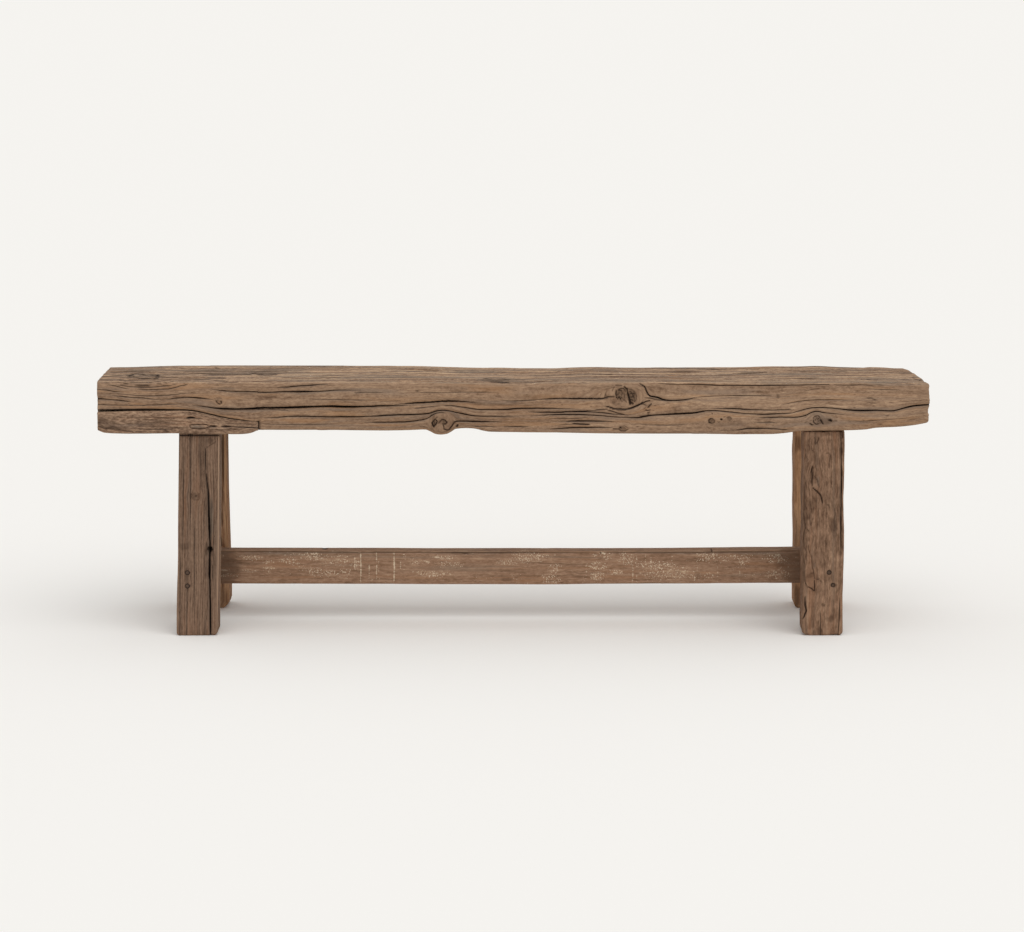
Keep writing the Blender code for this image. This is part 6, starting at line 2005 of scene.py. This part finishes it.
def timber_material(name, look):
    """Weathered wood: bands, growth rings, streaks and fibres that follow the grain, with dark cracks."""
    graph = Graph(name)
    math, times, plus, centred, mix = graph.math, graph.times, graph.plus, graph.centred, graph.mix
    grain = graph.attribute("grain")
    relief, edge, weathered_and_lit = graph.parts(graph.attribute("form"))
    inked, paled, greyed = graph.parts(graph.attribute("mark"))
    x, y, z = graph.parts(grain)

    def pattern(kind):
        return graph.stretched(grain, *PATTERNS[kind])

    def step(kind, value):
        return graph.between(value, *STEPS[kind])

    # Patterns drawn out along the grain
    broad = pattern("broad")
    band = pattern("band")
    streak = pattern("streak")
    fine = pattern("fine")
    grit = pattern("grit")
    # Growth rings round the pith, at uneven spacing
    off_y = math("SUBTRACT", y, look.pith[0])
    off_z = math("SUBTRACT", z, look.pith[1])
    distance = math("SQRT", math("ADD", times(off_y, off_y), times(off_z, off_z)))
    distance = plus(distance, pattern("wobble"), RING_WOBBLE)
    ring_place = graph.joined(math("DIVIDE", distance, look.ring_step), math("DIVIDE", x, RING_LENGTH), 0.0)
    ring = graph.noise(ring_place, RING_DETAIL, RING_ROUGHNESS)
    spread = plus(look.contrast, weathered_and_lit, look.contrast * look.top_grey * TOP_CONTRAST)
    tone = 0.5
    for value, weight in ((broad, BROAD_TONE), (band, BAND_TONE), (ring, RING_TONE), (streak, STREAK_TONE),
                          (fine, FINE_TONE), (grit, look.grit)):
        tone = plus(tone, centred(value), times(spread, weight))
    tone = plus(tone, centred(pattern("patter")), times(weathered_and_lit, TOP_PATTER * look.top_grey))
    tone = plus(tone, relief, RELIEF_TONE)
    # Thin dark grain lines, gathered in places
    lines = 0.0
    for along, across, thin, strength, shift in GRAIN_LINES:
        wave = graph.stretched(grain, along, across, LINE_DETAIL, shift=shift)
        line = graph.between(math("ABSOLUTE", centred(wave)), thin, 0.0, 0.0, strength)
        place = graph.stretched(grain, along * LINE_PLACE_ALONG, across * LINE_PLACE_ACROSS,
                                shift=shift + LINE_PLACE_SHIFT)
        lines = math("MAXIMUM", lines, times(line, step("line_place", place)))
    tone = plus(tone, lines, -look.lines)
    palest = PALEST_CHALKED if look.chalk else PALEST
    tone = plus(tone, paled, graph.between(streak, *STEPS["pale"], LEAST_PALE * palest, palest))
    # Upward faces are lighter from weathering and painted light from above, and a leg's chosen side from
    # painted light
    tone = plus(tone, weathered_and_lit, WEATHERED_AND_LIT_TONE)
    tone = plus(tone, centred(band), times(weathered_and_lit, TOP_BAND * look.top_grey))
    tone = plus(tone, centred(pattern("mottle")), look.mottle)
    growth = plus(times(distance, FULL_TURN / look.ring_step), ring, GROWTH_WOBBLE)
    tone = math("ADD", tone, graph.between(math("SINE", growth), *STEPS["growth"], -look.growth))
    colour = graph.ramp(tone, list(zip(TONE_PLACES, look.tones)))
    # Warm and grey streaks
    colour = mix(step("warm", pattern("warm")), colour, linear(look.warm))
    colour = mix(step("grey", pattern("grey")), colour, linear(look.grey))
    # Slate-grey weathering on top, in broad bands and fine streaks, and where grey patches are drawn
    weathered = math("MAXIMUM", step("slate", pattern("slate")), step("thread", pattern("thread")))
    weathered = times(times(weathered, weathered_and_lit), look.top_grey)
    weathered = math("MAXIMUM", weathered, times(greyed, step("greyed", streak)))
    slate_colour = mix(step("slate_tone", fine), linear(SLATE_DARK), linear(SLATE_LIGHT))
    colour = mix(times(weathered, SLATE_COVER), colour, slate_colour)
    # Short dark nicks and warm flecks
    colour = mix(step("pores", pattern("pores")), colour, linear(look.tones[0]))
    glint = times(step("glint", pattern("glint")), step("glint_place", pattern("glint_place")))
    colour = mix(glint, colour, linear(look.tones[-1]))
    if look.chalk:
        amount = math("MULTIPLY_ADD", step("cloud", pattern("cloud")), CLOUD_CHALK, paled, clamp=True)
        limit = plus(FLECK_LIMIT, amount, FLECK_FALL)
        flecks = step("fleck", math("SUBTRACT", pattern("fleck"), limit))
        flecks = times(flecks, step("fleck_amount", amount))
        colour = mix(times(flecks, look.chalk), colour, linear(CHALK))
    # Knots: rings, a dark heart, a halo and a rim
    knot_x, knot_y, knot_ink = graph.parts(graph.attribute("knot"))
    reach = graph.vector("LENGTH", graph.joined(knot_x, knot_y, 0.0))
    reach = plus(reach, centred(pattern("swirl")), KNOT_SWIRL)
    turn = math("SINE", times(reach, KNOT_RING_TURNS))
    knot_colour = mix(step("knot_ring", turn), linear(look.tones[1]), linear(look.knot_tone))
    knot_colour = mix(step("knot_heart", reach), knot_colour, linear(look.crack))
    colour = mix(times(times(step("knot", reach), knot_ink), KNOT_COVER), colour, knot_colour)
    colour = mix(times(times(step("knot_halo", reach), knot_ink), HALO_COVER), colour, linear(look.knot_tone))
    rim = step("knot_rim", math("ABSOLUTE", math("SUBTRACT", reach, 1.0)))
    rim = times(times(rim, times(knot_ink, knot_ink)), step("knot_rim_streak", streak))
    colour = mix(times(rim, RIM_COVER), colour, linear(look.crack))
    # Worn arrises
    colour = mix(times(edge, step("worn", streak)), colour, linear(look.tones[3]))
    # Drawn strokes: first the light ones, chalk on the stretcher and painted highlights on the legs' arrises,
    # then the dark ones
    chalk_and_highlight = graph.node("Attribute", attribute_name="chalk_and_highlight").outputs["Fac"]
    if look.chalk:
        chalked = step("chalk", plus(chalk_and_highlight, centred(grit), CHALK_GRIT))
        colour = mix(times(chalked, step("chalk_place", chalk_and_highlight)), colour, linear(CHALK))
    else:
        # Light strokes on the legs are painted highlights where light catches an arris
        colour = mix(step("painted_highlight", chalk_and_highlight), colour, linear(look.tones[-1]))
    if look.top_grey:
        inked = times(inked, plus(1.0, step("comb", pattern("comb")), weathered_and_lit))
    drawn = plus(inked, centred(fine), INK_GRAIN)
    colour = mix(step("ink", drawn), colour, linear(look.tones[0]))
    colour = mix(step("deep_ink", drawn), colour, linear(look.crack))
    # Cracks: the nearest one counts, with ragged edges, a darker margin of painted shade and dirt, and a
    # painted highlight on the lip below, where light from above falls
    nearest = FAR
    lip = 0.0
    for letter in TRACK_LETTERS:
        signed = graph.attribute("crack_" + letter)
        for part in graph.parts(graph.vector("ABSOLUTE", signed)):
            nearest = math("MINIMUM", part, nearest)
        for part in graph.parts(signed):
            below = math("ABSOLUTE", math("ADD", part, LIP_HIGHLIGHT_PLACE))
            lip = math("MAXIMUM", lip, step("lip", below))
    ragged = plus(nearest, centred(fine), CRACK_GRAIN)
    crack = step("crack", ragged)
    colour = mix(times(step("margin", ragged), MARGIN_SHADE_AND_DIRT_COVER), colour, linear(look.tones[0]))
    colour = mix(times(lip, LIP_HIGHLIGHT_COVER), colour, linear(look.grey))
    colour = mix(crack, colour, linear(look.crack))
    roughness = graph.total((streak, ROUGH_STREAK), (ROUGH_LEVEL, 1.0))
    height = graph.total(*zip((streak, fine, ring, band, grit, lines, crack), BUMP_WEIGHTS))
    return graph.finished(colour, roughness, TIMBER_SHINE, height, look.bump, BUMP_DISTANCE)


SEAT_LOOK = Look(
    tones=((72, 54, 42), (114, 89, 70), (141, 114, 92), (162, 133, 108), (192, 161, 131)),
    warm=(162, 123, 89), grey=(132, 115, 101), top_grey=0.7, crack=CRACK_DARK, knot_tone=(84, 64, 48),
    ring_step=0.0045, pith=(0.03, -0.07), contrast=0.52, lines=0.19, growth=0.02, mottle=0.08, grit=1.75,
    bump=0.5, chalk=0.0)
BLOCK_LOOK = Look(
    tones=((66, 50, 40), (106, 84, 68), (136, 110, 90), (159, 131, 108), (187, 157, 129)),
    warm=(156, 119, 92), grey=(118, 102, 90), top_grey=0.3, crack=CRACK_DARK, knot_tone=(76, 58, 46),
    ring_step=0.0032, pith=(0.05, 0.06), contrast=0.80, lines=0.30, growth=0.10, mottle=0.22, grit=2.0,
    bump=0.7, chalk=0.0)
LEFT_LEG_LOOK = Look(
    tones=((55, 41, 32), (92, 72, 58), (120, 96, 79), (139, 113, 93), (162, 134, 111)),
    warm=(134, 99, 76), grey=(104, 88, 76), top_grey=0.0, crack=(24, 18, 14), knot_tone=(70, 53, 42),
    ring_step=0.0046, pith=(-0.30, 0.03), contrast=0.50, lines=0.12, growth=0.17, mottle=0.18, grit=1.10,
    bump=0.6, chalk=0.0)
RIGHT_LEG_LOOK = Look(
    tones=((59, 42, 32), (101, 77, 60), (128, 100, 80), (148, 118, 95), (172, 141, 114)),
    warm=(140, 102, 77), grey=(112, 93, 78), top_grey=0.0, crack=CRACK_DARK, knot_tone=(74, 53, 40),
    ring_step=0.0042, pith=(-0.02, 0.05), contrast=0.72, lines=0.16, growth=0.0, mottle=0.95, grit=1.1,
    bump=0.9, chalk=0.0)
# The rear legs' tones are raised as painted light against the shade under the seat
REAR_LEFT_LOOK = Look(
    tones=((70, 49, 36), (103, 76, 56), (140, 106, 80), (170, 133, 102), (190, 153, 119)),
    warm=(160, 118, 84), grey=(128, 107, 87), top_grey=0.0, crack=CRACK_DARK, knot_tone=(74, 53, 40),
    ring_step=0.0040, pith=(0.03, -0.06), contrast=0.9, lines=0.40, growth=0.16, mottle=0.3, grit=0.40,
    bump=0.6, chalk=0.0)
# The rear right leg's tones are raised further, as painted light
REAR_RIGHT_LOOK = REAR_LEFT_LOOK._replace(
    tones=((80, 56, 40), (122, 90, 66), (158, 120, 90), (186, 144, 109), (204, 164, 127)),
    warm=(156, 118, 86), lines=0.24, growth=0.05)
STRETCHER_LOOK = Look(
    tones=((80, 59, 46), (123, 95, 74), (144, 113, 91), (161, 130, 106), (184, 154, 124)),
    warm=(154, 114, 85), grey=(128, 110, 94), top_grey=0.12, crack=CRACK_DARK, knot_tone=(86, 64, 50),
    ring_step=0.0060, pith=(0.06, 0.04), contrast=0.66, lines=0.12, growth=0.03, mottle=0.38, grit=1.2,
    bump=0.5, chalk=0.75)
RAIL_LOOK = STRETCHER_LOOK._replace(
    tones=((70, 52, 40), (104, 81, 64), (124, 99, 79), (140, 114, 92), (162, 134, 108)), pith=(0.01, -0.08))


# End grain: the density of its spots, how both patterns show, and how it darkens towards the rim
SPOT_DENSITY = 700
SPOT_DETAIL = 3
SPOT_ROUGHNESS = 0.6
SPOT_TONE = 0.55
BROAD_SPOT_TONE = 0.45
RIM_STEP = (0.20, 0.48, 0.06, -0.25)
END_TONE_PLACES = (0.25, 0.5, 0.72)
END_ROUGH_SPOTS = 0.2
END_ROUGH_LEVEL = 0.62
END_SHINE = 0.25
END_BUMP = 0.4
END_BUMP_DISTANCE = 0.0006
PEG_TONES = ((50, 36, 28), (78, 60, 48), (104, 84, 68))
PEG_DENSITY = 260
WEDGE_TONES = ((104, 80, 58), (142, 112, 84), (168, 138, 108))
WEDGE_DENSITY = 180


def end_grain_material(name, tones, density):
    """End grain of a peg or wedge, darker towards its rim."""
    graph = Graph(name)
    places = graph.node("TexCoord").outputs
    from_middle = graph.vector("SUBTRACT", places["Generated"], (0.5, 0.5, 0.5))
    from_middle = graph.vector("LENGTH", graph.vector("MULTIPLY", from_middle, (1.0, 0.0, 1.0)))
    small, large = (graph.vector("MULTIPLY", places["Object"], (each,) * 3)
                    for each in (SPOT_DENSITY, density))
    spots = graph.noise(small, SPOT_DETAIL, SPOT_ROUGHNESS)
    broad = graph.noise(large)
    tone = graph.total((spots, SPOT_TONE), (broad, BROAD_SPOT_TONE))
    tone = graph.math("ADD", tone, graph.between(from_middle, *RIM_STEP))
    colour = graph.ramp(tone, list(zip(END_TONE_PLACES, tones)))
    roughness = graph.total((spots, END_ROUGH_SPOTS), (END_ROUGH_LEVEL, 1.0))
    return graph.finished(colour, roughness, END_SHINE, spots, END_BUMP, END_BUMP_DISTANCE)


# A pale floor that runs far behind the bench, even studio light and the photograph's camera
FLOOR_SIZE = 60.0
FLOOR_BACK = 3
FLOOR_COLOUR = (245, 243, 239)
CAMERA_REACH = 5
SKY_LEVEL = 0.78
SUN_LEVEL = 0.85
SUN_SPREAD = radians(60)
SUN_FROM = (0.30, -0.60, 1.0)


def light_stage():
    """The floor, the light and the camera."""
    scene = bpy.context.scene
    back = FLOOR_SIZE * FLOOR_BACK
    mesh = bpy.data.meshes.new("floor")
    mesh.from_pydata([(-FLOOR_SIZE, -FLOOR_SIZE, 0), (FLOOR_SIZE, -FLOOR_SIZE, 0),
                      (FLOOR_SIZE, back, 0), (-FLOOR_SIZE, back, 0)], [], [(0, 1, 2, 3)])
    floor = bpy.data.objects.new("floor", mesh)
    scene.collection.objects.link(floor)
    graph = Graph("floor")
    graph.shader.inputs["Base Color"].default_value = linear(FLOOR_COLOUR)
    graph.shader.inputs["Roughness"].default_value = 1.0
    graph.shader.inputs["Specular IOR Level"].default_value = 0.0
    mesh.materials.append(graph.material)
    world = bpy.data.worlds.new("studio")
    scene.world = world
    world.use_nodes = True
    background = world.node_tree.nodes["Background"]
    background.inputs["Color"].default_value = (1.0, 1.0, 1.0, 1.0)
    background.inputs["Strength"].default_value = SKY_LEVEL
    lamp = bpy.data.lights.new("key", "SUN")
    lamp.energy = SUN_LEVEL
    lamp.angle = SUN_SPREAD
    sun = bpy.data.objects.new("key", lamp)
    sun.rotation_euler = Vector(SUN_FROM).to_track_quat("Z", "Y").to_euler()
    scene.collection.objects.link(sun)
    lens = bpy.data.cameras.new("camera")
    lens.sensor_width = SENSOR_MILLIMETRES
    lens.sensor_fit = "HORIZONTAL"
    lens.lens = FOCAL_PIXELS / PHOTO_WIDTH * SENSOR_MILLIMETRES
    lens.clip_end = FLOOR_SIZE * CAMERA_REACH
    camera = bpy.data.objects.new("camera", lens)
    camera.location = CAMERA_PLACE
    camera.rotation_euler = (pi / 2 - CAMERA_PITCH, 0, 0)
    scene.collection.objects.link(camera)
    scene.camera = camera
    scene.view_settings.view_transform = "Standard"


# Seeds of the legs and bars, the stretcher's level, and the closer stations at its saw marks
FIRST_LEG_SEED = 100
LEG_SEED_STEP = 10
STRETCHER_SEED = 211
RAIL_SEED = 231
STRETCHER_LEVEL = 0.102
SAW_MARK_ROW = 560
SAW_MARK_REACH = 0.9
SAW_MARK_SPACING = 0.0010

light_stage()
make_seat(timber_material("seat_wood", SEAT_LOOK))
make_block(timber_material("block_wood", BLOCK_LOOK))
leg_woods = {
    "front_left": timber_material("left_leg_wood", LEFT_LEG_LOOK),
    "front_right": timber_material("right_leg_wood", RIGHT_LEG_LOOK),
    "rear_left": timber_material("rear_left_leg_wood", REAR_LEFT_LOOK),
    "rear_right": timber_material("rear_right_leg_wood", REAR_RIGHT_LOOK),
}
for number, (side_name, look) in enumerate(LEG_LOOKS.items()):
    make_leg(side_name, leg_woods[side_name], look, FIRST_LEG_SEED + LEG_SEED_STEP * number)
low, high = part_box("long_stretcher")
sizes = (low.x + STRETCHER_TENON, high.x - STRETCHER_TENON, low.y, high.y,
         STRETCHER_LEVEL - STRETCHER_HEIGHT / 2, STRETCHER_LEVEL + STRETCHER_HEIGHT / 2)
saw_marks = []
for column, *_ in SAW_MARK_PIXELS:
    ends = columns_at((column - SAW_MARK_REACH, column + SAW_MARK_REACH), SAW_MARK_ROW, low.y)
    saw_marks.append((*ends, SAW_MARK_SPACING))
stretcher_look = BarLook(0.0026, (38, 12, 26, 10), (0, 2, 12, 6), saw_marks, STRETCHER_STROKES,
                         STRETCHER_PATCHES, STRETCHER_LIFT_SHARES)
stretcher_wood = timber_material("stretcher_wood", STRETCHER_LOOK)
make_bar("long_stretcher", stretcher_wood, ALONG_X, sizes, STRETCHER_SEED, stretcher_look)
rail_wood = timber_material("rail_wood", RAIL_LOOK)
rail_look = BarLook(0.0034, (26, 9, 26, 9), (5, 3, 5, 3), (), (), (), LEVEL_SHARES)
for number, side_name in enumerate(("left", "right")):
    node = side_name + "_cross_rail"
    low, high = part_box(node)
    sizes = (low.y, high.y, low.x, high.x, low.z, high.z)
    make_bar(node, rail_wood, ALONG_Y, sizes, RAIL_SEED + number, rail_look)
peg_wood = end_grain_material("peg_wood", PEG_TONES, PEG_DENSITY)
wedge_wood = end_grain_material("wedge_wood", WEDGE_TONES, WEDGE_DENSITY)
for node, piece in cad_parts.items():
    if node.endswith(("_peg", "_wedge")):
        piece.data.materials.clear()
        piece.data.materials.append(peg_wood if node.endswith("_peg") else wedge_wood)
